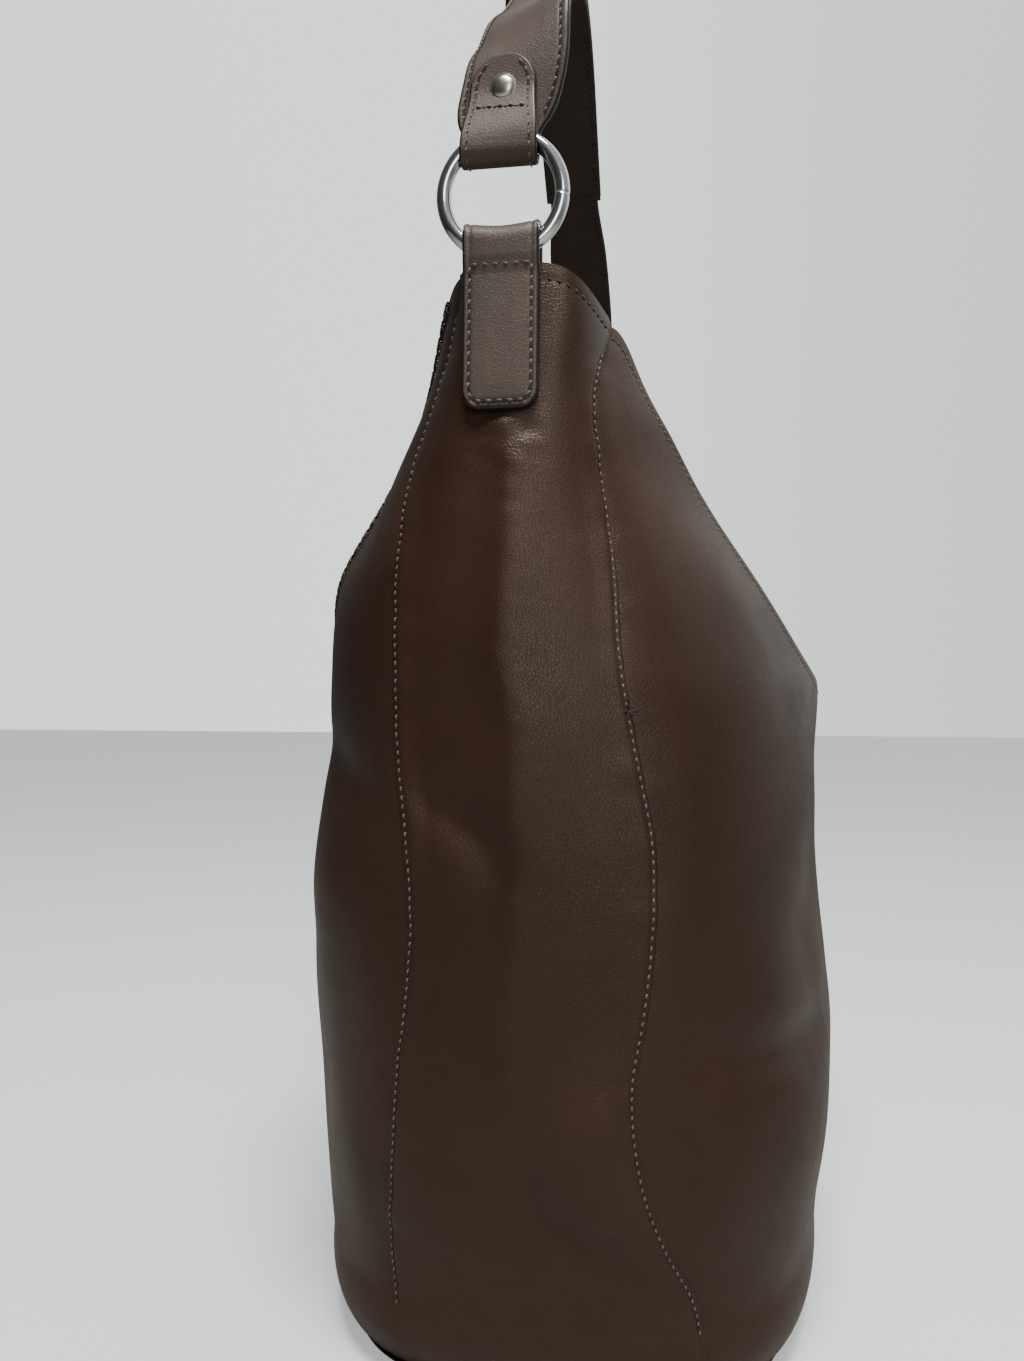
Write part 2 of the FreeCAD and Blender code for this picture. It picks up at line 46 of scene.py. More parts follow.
# ---------------------------------------------------------------- sizes, in millimetres
# Half length, half depth, middle and squareness of the bag's section by height. The CAD model has the same
# box, but the shoulders, the front rim's corner and the bottom edge are shaped further here.
BASE_EDGE_HEIGHT = 30.0
BASE_EDGE_INSET = 19.0
HALF_LENGTH = [(30, 172), (80, 181), (150, 184), (220, 182), (300, 176), (350, 172.5), (380, 171)]
HALF_DEPTH = [
    (30, 98), (90, 104.5), (160, 105), (206, 101), (236, 97.5), (271, 90.5), (307, 76), (346, 60), (380, 50),
]
MIDDLE = [(0, -1), (60, 0), (150, 0), (206, 0), (236, 2), (271, 3), (307, 2), (380, 0)]
SQUARENESS = [(0, 3.8), (15, 3.55), (35, 3.1), (75, 2.9), (150, 2.8), (236, 2.5), (300, 2.15), (380, 2.0)]
# How much fuller or flatter than the mean a side is, by height
BACK_FULLNESS = [
    (0, 0), (100, 0), (125, -0.022), (150, -0.04), (170, -0.04), (190, -0.015), (205, 0.005), (220, 0.03),
    (235, 0.048), (250, 0.04), (268, 0.035), (290, 0.04), (308, 0.06), (325, 0.1), (341, 0.085), (360, 0.06),
    (380, 0.04),
]
FRONT_FULLNESS = [
    (0, 0), (140, 0), (165, 0.01), (206, -0.01), (235, 0), (273, 0.028), (290, -0.02), (306, -0.08),
    (322, -0.14), (335, -0.18), (350, -0.19), (380, -0.14),
]
LEAN = [(0, 0.0), (120, 0.15), (200, 0.45), (260, 0.85), (320, 1.0), (380, 1.0)]
RIM_LOW, GUSSET_PEAK = 235.0, 370.0
RIM_CORNER = {-1: 371.5, 1: 358.0}
WALL_START = 0.046       # share of a wall's height that lies under the base plate's edge
BASE_OUT = 7.0
# Half width of the gusset between its wandering seams, and where its middle lies, by height
GUSSET_HALF = [
    (0, 52), (19, 52), (40, 50.7), (56, 47.2), (75, 43), (94, 40.5), (112, 39.5), (133, 39.7), (160, 40),
    (186, 40.8), (212, 39.9), (242, 38), (273, 37), (306, 33), (330, 27.8), (356, 25.5), (380, 24),
]
GUSSET_MIDDLE = [
    (0, 0), (19, -1), (40, -3.3), (56, -7.3), (75, -10), (94, -11), (112, -10.5), (133, -7.3), (160, -5),
    (186, -6.2), (212, -10.2), (242, -13.5), (273, -15), (306, -15.9), (330, -13), (356, -7.1), (380, -6.8),
]
FACING_DEPTH = 30.0
SHELL, LINING = 1.6, 0.7

ring_joint = next(j for j in frame["joints"] if j["name"] == "near_ring_spin")
RING_X, RING_Y, RING_Z = (c / MM for c in ring_joint["pos_m"])
RING_R, WIRE_R = 19.4, 2.4

STRIP, STRIP_HALF = 2.0, 12.5
LOOP_R = WIRE_R + 0.4 + STRIP / 2
LOOP_H = math.sqrt((RING_R - WIRE_R) ** 2 - STRIP_HALF**2) + WIRE_R
TAB_BOTTOM, TAB_INNER_BOTTOM, TAB_CORNER = -71.0, -60.0, 6.5
TONGUE_TOP, TONGUE_HALF = 46.5, 11.3
STRAP_A = -(WIRE_R + 0.4 + 1.5)
STRAP_RISE, STRAP_BEND_R, STRAP_TURN, STRAP_APEX_R = 40.0, 38.0, 53.0, 70.0
PADDLE_END, STRAP_SQUARE_END, STRAP_HALF = 175.0, 154.0, 15.3
PADDLE_HALF = [
    (0, 12.5), (20, 12.7), (26, 15.6), (31, 17), (40, 17.6), (60, 18), (76, 18), (98, 16.6), (116, 13.6),
    (150, 13),
]
# The near end of the strap hangs askew: its paddle turns its face to the front above the tongue and
# drifts to the back. Degrees and millimetres, by length from the ring's centre height.
PADDLE_TURN = [(0, 0), (14, 0), (44, 10), (64, 25), (95, 14), (130, 14), (175, 0), (300, 0)]
PADDLE_DRIFT = [(0, -1), (20, -1), (46, 4), (100, 6), (175, 1), (240, 0), (300, 0)]
TONGUE_TURN = [(14, 0), (22, 3), (31, 6), (46, 8)]
TONGUE_DRIFT = [(8, -1.2), (46, 0.2)]
RIVET_H, RIVET_R = 35.0, 4.5
EDGE_STITCH = 2.5
POCKET_HALF, POCKET_LOW, POCKET_HIGH, POCKET_FACE, POCKET_PLY = 82.0, 95.0, 205.0, 75.0, 0.8
ZIP_Z, ZIP_HALF = 188.0, 70.0
LACE_PITCH, LACE_START = 6.2, 9.0
END_NAMES = {1: "near", -1: "far"}
SIDE_NAMES = {-1: "front", 1: "back"}


# ---------------------------------------------------------------- small helpers
def knots(table, at):
    """Smooth value between the knots of a table, for a number or an array."""
    xs = np.array([k[0] for k in table], float)
    ys = np.array([k[1] for k in table], float)
    slopes = np.empty(len(xs))
    for k in range(len(xs)):
        lo, hi = max(k - 1, 0), min(k + 1, len(xs) - 1)
        slopes[k] = (ys[hi] - ys[lo]) / (xs[hi] - xs[lo])
    q = np.clip(np.asarray(at, float), xs[0], xs[-1])
    i = np.clip(np.searchsorted(xs, q, side="right") - 1, 0, len(xs) - 2)
    step = xs[i + 1] - xs[i]
    t = (q - xs[i]) / step
    return (
        ys[i] * (2 * t**3 - 3 * t**2 + 1)
        + slopes[i] * step * (t**3 - 2 * t**2 + t)
        + ys[i + 1] * (3 * t**2 - 2 * t**3)
        + slopes[i + 1] * step * (t**3 - t**2)
    )


def bump(x, middle, width):
    return np.exp(-(((x - middle) / width) ** 2))


def ramp(x, low, high):
    t = np.clip((x - low) / (high - low), 0, 1)
    return t * t * (3 - 2 * t)


def waves(points, scale, seed):
    """Smooth wandering field of about unit size over points."""
    rng = np.random.default_rng(seed)
    total = np.zeros(points.shape[:-1])
    for _ in range(7):
        way = rng.normal(size=3)
        way *= rng.uniform(0.6, 1.5) / np.linalg.norm(way) / scale
        total += np.sin(points @ way * 2 * math.pi + rng.uniform(0, 2 * math.pi))
    return total / 3.0


def grid_normals(points):
    across = np.gradient(points, axis=0)
    along = np.gradient(points, axis=1)
    normals = np.cross(across, along)
    return normals / np.maximum(np.linalg.norm(normals, axis=-1, keepdims=True), 1e-9)


def grid_quads(rows, columns, start=0, flip=False):
    i, j = np.meshgrid(np.arange(rows - 1), np.arange(columns - 1), indexing="ij")
    a = (i * columns + j + start).ravel()
    quads = np.stack([a, a + columns, a + columns + 1, a + 1], axis=1)
    return quads[:, ::-1] if flip else quads


def ring_skin(count, sides, start=0, closed=False):
    """Faces over rings of points in a row. The ends are flat, unless the last ring meets the first."""
    turns = [(k, (k + 1) % sides) for k in range(sides)]
    faces = []
    for r in range(count if closed else count - 1):
        here, there = start + r * sides, start + (r + 1) % count * sides
        faces += [[here + a, here + b, there + b, there + a] for a, b in turns]
    if not closed:
        faces.append([start + k for k in range(sides)][::-1])
        faces.append([start + (count - 1) * sides + k for k in range(sides)])
    return faces


def rim_loop(rows, columns):
    """Indices round the border of a grid."""
    top = [j for j in range(columns)]
    right = [i * columns + columns - 1 for i in range(1, rows)]
    bottom = [(rows - 1) * columns + j for j in range(columns - 2, -1, -1)]
    left = [i * columns for i in range(rows - 2, 0, -1)]
    return top + right + bottom + left


def add_piece(name, points, faces, materials, body, slot, replaces=(), indices=None, sharp=50):
    """A mesh piece in millimetres, which rides on a body and takes its finish from its materials; the slot is
    not used.
    """
    mesh = bpy.data.meshes.new(name)
    mesh.from_pydata((np.asarray(points) * MM).tolist(), [], [list(map(int, f)) for f in faces])
    mesh.polygons.foreach_set("use_smooth", [True] * len(mesh.polygons))
    if indices is not None:
        mesh.polygons.foreach_set("material_index", [int(k) for k in indices])
    for material in materials:
        mesh.materials.append(material)
    mesh.set_sharp_from_angle(angle=math.radians(sharp))
    piece = bpy.data.objects.new(name, mesh)
    bpy.context.scene.collection.objects.link(piece)
    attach(piece, body)
    if replaces:
        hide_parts(*replaces)
    return piece


def closed_sheet(outer, inner):
    """Points and faces of a closed sheet between two grids of the same size."""
    rows, columns = outer.shape[:2]
    count = rows * columns
    points = np.concatenate([outer.reshape(-1, 3), inner.reshape(-1, 3)])
    faces = list(grid_quads(rows, columns)) + list(grid_quads(rows, columns, count, flip=True))
    loop = rim_loop(rows, columns)
    for a, b in zip(loop, loop[1:] + loop[:1]):
        faces.append([b, a, a + count, b + count][::-1])
    return points, faces


# ---------------------------------------------------------------- the bag's walls
def edge_inset(z):
    t = np.clip(1 - z / BASE_EDGE_HEIGHT, 0, 1)
    return BASE_EDGE_INSET * (1 - np.sqrt(np.maximum(0, 1 - t * t)))


def half_length(z):
    return knots(HALF_LENGTH, z) - edge_inset(z)


def half_depth(side, z):
    fullness = BACK_FULLNESS if side > 0 else FRONT_FULLNESS
    return knots(HALF_DEPTH, z) * (1 + knots(fullness, z)) - edge_inset(z)


def lean(x, z):
    """Middle of the section at a place along the bag."""
    t = np.minimum(1, np.abs(x) / half_length(z) / 0.9)
    share = np.sin(math.pi / 2 * t) ** 2
    return RING_Y * knots(LEAN, z) * share + knots(MIDDLE, z) * (1 - share)


def seam_x(side, z):
    """Distance of the seam on one side from the middle of the bag."""
    n = knots(SQUARENESS, z)
    y = knots(GUSSET_MIDDLE, z) + side * knots(GUSSET_HALF, z)
    share = np.abs(y - RING_Y * knots(LEAN, z)) / half_depth(side, z)
    return half_length(z) * (1 - share**n) ** (1 / n)


def rim_height(side, u):
    t = np.minimum(1, np.abs(u))
    return RIM_LOW + (RIM_CORNER[side] - RIM_LOW) * (1 - np.cos(math.pi * t * t)) / 2


def gusset_top(w):
    corner = np.where(w > 0, RIM_CORNER[1], RIM_CORNER[-1])
    return corner + (GUSSET_PEAK - corner) * (1 - np.abs(w) ** 2.4)


def height(v, top):
    low = BASE_EDGE_HEIGHT * (1 - np.cos(math.pi / 2 * np.minimum(v / 0.2, 1)))
    high = BASE_EDGE_HEIGHT + (v - 0.2) / 0.8 * (top - BASE_EDGE_HEIGHT)
    return np.where(v < 0.2, low, high)


def panel_grid(side, us, zs):
    x = us * seam_x(side, zs)
    n = knots(SQUARENESS, zs)
    y = side * half_depth(side, zs) * np.maximum(0, 1 - (np.abs(x) / half_length(zs)) ** n) ** (1 / n)
    return np.stack([x, y + lean(x, zs), zs], axis=-1)


def gusset_grid(end, ws, zs):
    flat = 3 + 1.5 * np.clip((zs - 285) / 65, 0, 1)
    length = half_length(zs)
    corner = np.where(ws > 0, seam_x(1, zs), seam_x(-1, zs))
    x = length - (length - corner) * np.abs(ws) ** flat
    y = knots(GUSSET_MIDDLE, zs) + ws * knots(GUSSET_HALF, zs)
    return np.stack([end * x, y, zs], axis=-1)


def outward(points):
    """Normals of a wall's grid, away from the inside of the bag."""
    normals = grid_normals(points)
    away = points - np.array([0, 0, 150.0])
    flip = np.sign(np.sum(normals * away, axis=-1, keepdims=True).mean())
    return normals * flip, flip


def seam_distance(points):
    """Distance of each grid point from the nearer side edge of its grid, along the wall."""
    steps = np.linalg.norm(np.diff(points, axis=0), axis=-1)
    run = np.concatenate([np.zeros((1, points.shape[1])), np.cumsum(steps, axis=0)])
    return np.minimum(run, run[-1] - run)


def top_distance(points):
    steps = np.linalg.norm(np.diff(points, axis=1), axis=-1)
    run = np.concatenate([np.zeros((points.shape[0], 1)), np.cumsum(steps, axis=1)], axis=1)
    return run[:, -1:] - run


def lump(a, b, wide, tall):
    """Round swelling of unit height where a and b are both zero."""
    return np.exp(-((a / wide) ** 2) - (b / tall) ** 2)


def fold(a, b, path, width):
    """Rounded fold of unit height along a path of (a, b) points, which dies out at both ends."""
    nearest = np.full(a.shape, np.inf)
    share = np.zeros(a.shape)
    runs = np.cumsum([0] + [math.dist(p, q) for p, q in zip(path, path[1:])])
    for (p, q), run in zip(zip(path, path[1:]), runs):
        step = math.dist(p, q)
        along = ((a - p[0]) * (q[0] - p[0]) + (b - p[1]) * (q[1] - p[1])) / step
        kept = np.clip(along, 0, step)
        gap = np.hypot(a - p[0] - kept * (q[0] - p[0]) / step, b - p[1] - kept * (q[1] - p[1]) / step)
        closer = gap < nearest
        nearest = np.where(closer, gap, nearest)
        share = np.where(closer, (run + kept) / runs[-1], share)
    return np.exp(-((nearest / width) ** 2)) * np.sin(math.pi * np.clip(share, 0.04, 0.96)) ** 0.5


def seam_relief(points, rise, seed):
    """A lapped seam: the gusset's folded edge lies on the panels' sunk edges, with puckers beside it."""
    d = seam_distance(points)
    pucker = waves(points * np.array([0.2, 0.2, 1.0]), 12, seed) * bump(d, 0, 9)
    if rise > 0:
        edge = rise * bump(d, 0, 9) - 1.0 * bump(d, 0, 0.55) - 0.3 * bump(d, STITCH_IN, 0.8)
    else:
        edge = rise * np.exp(-d / 3.0)
    return (edge + 0.2 * pucker) * ramp(points[..., 2], 1, 14)


def wall(name, points, folds, detail, body, slot, nodes, material, thickness=SHELL, sink=0.0):
    """Closed sheet from its outer grid. Both faces follow the folds, and only the outer one the detail."""
    normals, flip = outward(points)
    outer = points + normals * (folds + detail - sink)[..., None]
    inner = points + normals * (folds - sink - thickness)[..., None]
    if flip < 0:
        outer, inner = outer[::-1], inner[::-1]
    mesh_points, faces = closed_sheet(outer, inner)
    # The faces round the sheet's border take the dark edge paint: real edge paint along the rim, and painted
    # shade of the seam's step along the side edges.
    rim = len(rim_loop(*outer.shape[:2]))
    edges = np.arange(len(faces)) >= len(faces) - rim
    piece = add_piece(name, mesh_points, faces, [material, edge_paint_and_shade], body, slot, nodes, edges)
    rounding = piece.modifiers.new("rounding", "BEVEL")
    rounding.width = 0.0004
    rounding.segments = 2
    rounding.limit_method = "ANGLE"
    rounding.angle_limit = math.radians(60)
    return outer


US = np.sin(math.pi / 2 * np.linspace(-1, 1, 241)) * 1.007  # the panels reach under the gussets' edges
WS = np.sin(math.pi / 2 * np.linspace(-1, 1, 121)) * 0.992
VS = np.concatenate([np.linspace(WALL_START, 0.2, 16), np.linspace(0.2, 0.94, 150)[1:],
                     np.linspace(0.94, 1, 26)[1:]])
STITCH_IN = 2.2          # from a seam to its topstitching
RIM_STITCH_IN = 5.2
THREAD_END_Z = 226.0


def panel_folds(side, points):
    """Soft dents and swellings of a side panel, deepest beside the near gusset."""
    x, y, z = points[..., 0], points[..., 1], points[..., 2]
    below_rim = rim_height(side, x / seam_x(side, z)) - z
    calm = ramp(below_rim, 0, 60) * ramp(z, 5, 50) * ramp(seam_x(side, z) - np.abs(x), 0, 9)
    relief = 1.1 * waves(points, 150, 11 + side) + 0.55 * waves(points, 62, 21 + side)
    if side > 0:
        relief -= 3.2 * fold(x, z, [(190, 122), (162, 116), (135, 112), (100, 113)], 9)
        relief += 2.4 * lump(x - 148, z - 86, 30, 24)
        relief -= 1.4 * lump(x - 125, z - 150, 26, 13)
        relief += 1.2 * lump(x - 120, z - 196, 40, 30)
    else:
        relief -= 1.6 * fold(x, z, [(184, 194), (165, 199), (140, 210), (110, 214)], 9)
        relief += 1.4 * lump(x - 150, z - 165, 30, 26)
        relief -= 1.5 * lump(x - 135, z - 96, 34, 26)
    flare = 3.2 * bump(below_rim, 0, 15) * (1 - ramp(np.abs(x) / seam_x(side, z), 0.6, 0.82))
    return relief * calm + (flare if side < 0 else 0)


def side_panel(side):
    us, vs = np.meshgrid(US, VS, indexing="ij")
    points = panel_grid(side, us, height(vs, rim_height(side, us)))
    name = SIDE_NAMES[side]
    detail = seam_relief(points, -1.2, 3 + side)
    if side > 0:
        detail -= 0.25 * bump(top_distance(points), RIM_STITCH_IN, 0.8)
    return wall(f"{name}_panel_skin", points, panel_folds(side, points), detail, "bag",
                "body_leather", [f"{name}_panel"], leather)


# Where the long crease of a gusset runs, and how far it stands out, by height
RIDGE = [(60, -11), (97, -11.8), (136, -10.8), (155, -8.9), (174, -7.9), (194, -8.9), (221, -9.8),
         (232, -11.8), (246, -13.8), (265, -12.8), (290, -11.8), (330, -12)]
RIDGE_RISE = [(60, 0), (95, 2.2), (150, 3.0), (190, 3.4), (246, 4.6), (300, 3.8), (318, 2.0), (335, 0)]


def gusset_folds(end, points):
    """The long crease below the tab, and the dents and swellings on both sides of it."""
    y, z = points[..., 1], points[..., 2]
    across = y - knots(RIDGE, z)
    away = np.sqrt(across**2 + 16.0) - 4.0
    relief = knots(RIDGE_RISE, z) * (np.exp(-away / np.where(across < 0, 7.5, 19.0)) - 0.25)
    relief -= 2.3 * fold(y, z, [(-50, 201), (-34, 196), (-22, 188), (-8, 172)], 7)
    relief += 0.9 * lump(y + 27, z - 163, 15, 17)
    relief += 3.0 * lump(y - 14, z - 94, 20, 24)
    relief -= 2.8 * fold(y, z, [(-12, 92), (-9, 82), (-2, 68), (11, 58), (34, 46)], 9)
    relief -= 1.2 * lump(y - 30, z - 112, 10, 16)
    relief += 0.7 * waves(points, 110, 31 + end) * ramp(z, 10, 50)
    share = np.abs(y - knots(GUSSET_MIDDLE, z)) / knots(GUSSET_HALF, z)
    return relief * (1 - ramp(z, 318, 345)) * ramp(1 - share, 0, 0.25) * (1.0 if end > 0 else 0.7)


def gusset(end):
    ws, vs = np.meshgrid(WS, VS, indexing="ij")
    points = gusset_grid(end, ws, height(vs, gusset_top(ws)))
    y, z = points[..., 1], points[..., 2]
    under_tab = 0.6 * ramp(z, 298, 311) * (1 - ramp(z, 318, 328))
    wrinkled = bump(y, -12, 9) * (under_tab + 0.12 * ramp(z, 120, 170))
    detail = seam_relief(points, 0.45, 7 + end)
    detail += waves(points * np.array([0.3, 0.35, 1.0]), 5, 41) * wrinkled
    detail -= 0.25 * bump(top_distance(points), RIM_STITCH_IN, 0.8)
    name = END_NAMES[end]
    return wall(f"{name}_gusset_skin", points, gusset_folds(end, points), detail, "bag",
                "body_leather", [f"{name}_gusset"], leather)


def inner_sheets():
    """Facings and linings, a little inside the walls."""
    sink = SHELL + 0.6
    for side, name in ((-1, "front"), (1, "back")):
        us, vs = np.meshgrid(US[::2] * 0.972, np.linspace(0, 1, 12), indexing="ij")
        points = panel_grid(side, us, rim_height(side, us) - 0.6 - FACING_DEPTH * (1 - vs))
        wall(f"{name}_facing_band", points, panel_folds(side, points), 0, "bag", "body_leather",
             [f"{name}_facing"], leather, 1.1, sink)
        us, vs = np.meshgrid(US[::2] * 0.987, np.linspace(0.1, 1, 60), indexing="ij")
        points = panel_grid(side, us, height(vs, rim_height(side, us) - FACING_DEPTH + 1))
        sag = panel_folds(side, points) + 0.5 * waves(points, 45, 51 + side) - 0.6
        wall(f"{name}_lining_cloth", points, sag, 0, "bag", "lining", [f"{name}_lining"], lining,
             LINING, sink)
    for end, name in ((-1, "far"), (1, "near")):
        ws, vs = np.meshgrid(WS[::2] * 0.985, np.linspace(0.1, 1, 60), indexing="ij")
        points = gusset_grid(end, ws, height(vs, gusset_top(ws) - 1.2))
        sag = gusset_folds(end, points) + 0.3 * waves(points, 45, 61 + end) - 0.4
        wall(f"{name}_end_lining_cloth", points, sag, 0, "bag", "lining", [f"{name}_end_lining"], lining,
             LINING, sink)


def oval_piece(name, profile, material, slot, nodes):
    """Flat piece in the shape of the base from (reach past the flat of the section, height) points."""
    n = float(knots(SQUARENESS, 0))
    sides = 160
    points = []
    for reach, z in profile:
        a, b = float(half_length(0)) + reach, float(half_depth(1, 0)) + reach
        for k in range(sides):
            c, s = math.cos(2 * math.pi * k / sides), math.sin(2 * math.pi * k / sides)
            x, y = (r * math.copysign(abs(v) ** (2 / n), v) for r, v in ((a, c), (b, s)))
            points.append((x, y, z))
    add_piece(name, points, ring_skin(len(profile), sides), [material], "bag", slot, nodes, sharp=60)


def base():
    """The bottom leather with a rounded edge that meets the walls, and the cloth over the board."""
    under = [(-60, 0.0), (-6, 0.0), (0, 0.0), (BASE_OUT - 2, 0.1), (BASE_OUT, 0.5), (BASE_OUT + 1.4, 1.1)]
    over = [(BASE_OUT + 1.6, 1.7), (BASE_OUT, 2.0), (-6, 1.6), (-60, 1.6)]
    oval_piece("base_skin", under + over, leather, "body_leather", ["base_panel"])
    low = SHELL + 2.7
    high = low + LINING
    cloth = [(-60, low), (-1.5, low), (-0.6, low + 0.3), (-1.5, high), (-60, high)]
    oval_piece("base_cloth", cloth, lining, "lining", ["base_lining"])


# ---------------------------------------------------------------- pockets
def masked_sheet(outer, inner, keep):
    """Closed sheet between two grids, with holes where a quad isn't kept."""
    rows, columns = outer.shape[:2]
    count = rows * columns
    faces, border = [], set()
    for i, j in zip(*np.nonzero(keep)):
        a = i * columns + j
        quad = [a, a + columns, a + columns + 1, a + 1]
        faces.append(quad)
        faces.append([c + count for c in reversed(quad)])
        for side in zip(quad, quad[1:] + quad[:1]):
            if side[::-1] in border:
                border.remove(side[::-1])
            else:
                border.add(side)
    faces += [[b, a, a + count, b + count] for a, b in sorted(border)]
    used = sorted({c for face in faces for c in face})
    place = {c: k for k, c in enumerate(used)}
    points = np.concatenate([outer.reshape(-1, 3), inner.reshape(-1, 3)])
    return points[used], [[place[c] for c in face] for face in faces]


def pocket_point(side, x, z, sunk=0.0):
    """On a pocket's face: flat in the middle, and back to the lining along its sewn edges."""
    n = knots(SQUARENESS, z)
    wall_y = side * half_depth(side, z) * (1 - (np.abs(x) / half_length(z)) ** n) ** (1 / n) + lean(x, z)
    wall_y -= side * (SHELL + 0.6 + LINING + 1.5)
    gap = np.minimum(POCKET_HALF - np.abs(x), z - POCKET_LOW)
    if side > 0:
        gap = np.minimum(gap, POCKET_HIGH - z)
    stands = ramp(gap, 0, 13)
    slack = 1.3 * waves(np.stack([x, 0 * x, z], axis=-1), 60, 71 + side) * ramp(np.abs(z - ZIP_Z), 6, 40)
    y = wall_y * (1 - stands) + side * (POCKET_FACE + sunk + 0.8 * np.abs(slack)) * stands
    return np.stack([x, y + side * sunk * (1 - stands), z], axis=-1)


def pocket_row(side, corners):
    """Stitch row along straight lines between (x, z) corners."""
    runs = [np.linspace(p, q, 60)[:-1] for p, q in zip(corners, corners[1:])]
    x, z = np.concatenate(runs).T
    step = 0.5
    across = pocket_point(side, x + step, z) - pocket_point(side, x - step, z)
    along = pocket_point(side, x, z + step) - pocket_point(side, x, z - step)
    normals = np.cross(across, along) * side
    return pocket_point(side, x, z), normals / np.linalg.norm(normals, axis=-1, keepdims=True)


def pocket(side):
    """Cloth pocket: open at the top on the front, with a slot for the zip on the back."""
    name = "zip" if side > 0 else "slip"
    across, up = np.arange(-POCKET_HALF, POCKET_HALF + 1), np.arange(POCKET_LOW, POCKET_HIGH + 1)
    x, z = np.meshgrid(across, up, indexing="ij")
    outer, inner = pocket_point(side, x, z), pocket_point(side, x, z, POCKET_PLY)
    keep = np.ones((len(x) - 1, x.shape[1] - 1), bool)
    if side > 0:
        middle_x, middle_z = x[:-1, :-1] + 0.5, z[:-1, :-1] + 0.5
        keep = (np.abs(middle_x) > ZIP_HALF) | (np.abs(middle_z - ZIP_Z) > 4)
    else:
        outer, inner = outer[::-1], inner[::-1]
    points, faces = masked_sheet(outer, inner, keep)
    add_piece(f"{name}_pocket_cloth", points, faces, [lining], "bag", "lining", [f"{name}_pocket"])
    right, low, high = POCKET_HALF - 2, POCKET_LOW + 2, POCKET_HIGH - 2
    if side > 0:
        rows = [pocket_row(side, [(-right, low), (right, low), (right, high), (-right, high), (-right, low)])]
        x, low, high = ZIP_HALF + 2.5, ZIP_Z - 6.5, ZIP_Z + 6.5
        rows.append(pocket_row(side, [(-x, low), (x, low), (x, high), (-x, high), (-x, low)]))
    else:
        rows = [pocket_row(side, [(-right, high), (-right, low), (right, low), (right, high)])]
        rows.append(pocket_row(side, [(-right, POCKET_HIGH - 8), (right, POCKET_HIGH - 8)]))
    stitches(f"{name}_pocket_stitches", rows, dark_thread, "bag", 3.0, 0.25)


def zip_tape():
    """The tape on both sides of the teeth, behind the pocket's face."""
    heights = np.concatenate([np.linspace(-12, -0.2, 9), np.linspace(0.2, 12, 9)]) + ZIP_Z
    x, z = np.meshgrid(np.arange(-ZIP_HALF - 6, ZIP_HALF + 7), heights, indexing="ij")
    keep = np.ones((len(x) - 1, len(heights) - 1), bool)
    keep[:, 8] = np.abs(x[:-1, 0] + 0.5) > ZIP_HALF
    back = POCKET_PLY + 0.1
    points, faces = masked_sheet(pocket_point(1, x, z, back), pocket_point(1, x, z, back + 0.5), keep)
    add_piece("zip_tape_cloth", points, faces, [tape], "bag", "zip_tape", ["zip_tape"])


# ---------------------------------------------------------------- stitches
def resample(points, normals, pitch):
    steps = np.linalg.norm(np.diff(points, axis=0), axis=1)
    run = np.concatenate([[0], np.cumsum(steps)])
    count = max(2, int(run[-1] / pitch))
    marks = (np.arange(count) + 0.5) * run[-1] / count
    place = np.stack([np.interp(marks, run, points[:, k]) for k in range(3)], axis=1)
    ahead = np.stack([np.interp(marks + 0.3, run, points[:, k]) for k in range(3)], axis=1)
    behind = np.stack([np.interp(marks - 0.3, run, points[:, k]) for k in range(3)], axis=1)
    up = np.stack([np.interp(marks, run, normals[:, k]) for k in range(3)], axis=1)
    way = ahead - behind
    way /= np.linalg.norm(way, axis=1, keepdims=True)
    up -= way * np.sum(way * up, axis=1, keepdims=True)
    up /= np.linalg.norm(up, axis=1, keepdims=True)
    return place, way, up


def stitch_shapes(rows, pitch, radius, slant=0.10):
    """One mesh of many stitches. Each is a short thread that dives into the leather at both ends."""
    rings, sides = 7, 6
    points, faces = [], []
    for line, normals in rows:
        place, way, up = resample(np.asarray(line, float), np.asarray(normals, float), pitch)
        cross = np.cross(way, up)
        for p, w, n, c in zip(place, way, up, cross):
            faces += ring_skin(rings, sides, len(points))
            for t in np.linspace(-1, 1, rings):
                centre = p + (w + c * slant) * t * pitch * 0.32 + n * radius * (0.75 - 1.9 * abs(t) ** 3)
                thick = radius * (1.0 - 0.45 * abs(t) ** 3)
                for k in range(sides):
                    a = 2 * math.pi * k / sides
                    points.append(centre + (c * math.cos(a) + n * math.sin(a)) * thick)
    return np.array(points), faces


def hole_shade_shapes(rows, pitch, radius):
    """Flat dark pits half way between the stitches: painted shade of the needle holes."""
    corners = 8
    points, faces = [], []
    for line, normals in rows:
        place, way, up = resample(np.asarray(line, float), np.asarray(normals, float), pitch)
        for p, w, n in zip((place[1:] + place[:-1]) / 2, way, up):
            faces += ring_skin(2, corners, len(points))
            c = np.cross(w, n)
            for lift in (-0.5, 0.14):
                for k in range(corners):
                    a = 2 * math.pi * k / corners
                    points.append(p + w * math.cos(a) * radius * 1.5 + c * math.sin(a) * radius + n * lift)
    return np.array(points), faces


def stitches(name, rows, material, body, pitch=3.4, radius=0.32):
    """Rows of thread with the painted shade of their needle holes between them."""
    add_piece(name, *stitch_shapes(rows, pitch, radius), [material], body, "thread")
    # The dark pits are painted shade of the needle holes, not real recesses.
    add_piece(f"{name}_hole_shade", *hole_shade_shapes(rows, pitch, radius * 1.5), [edge_paint_and_shade], body, "thread")


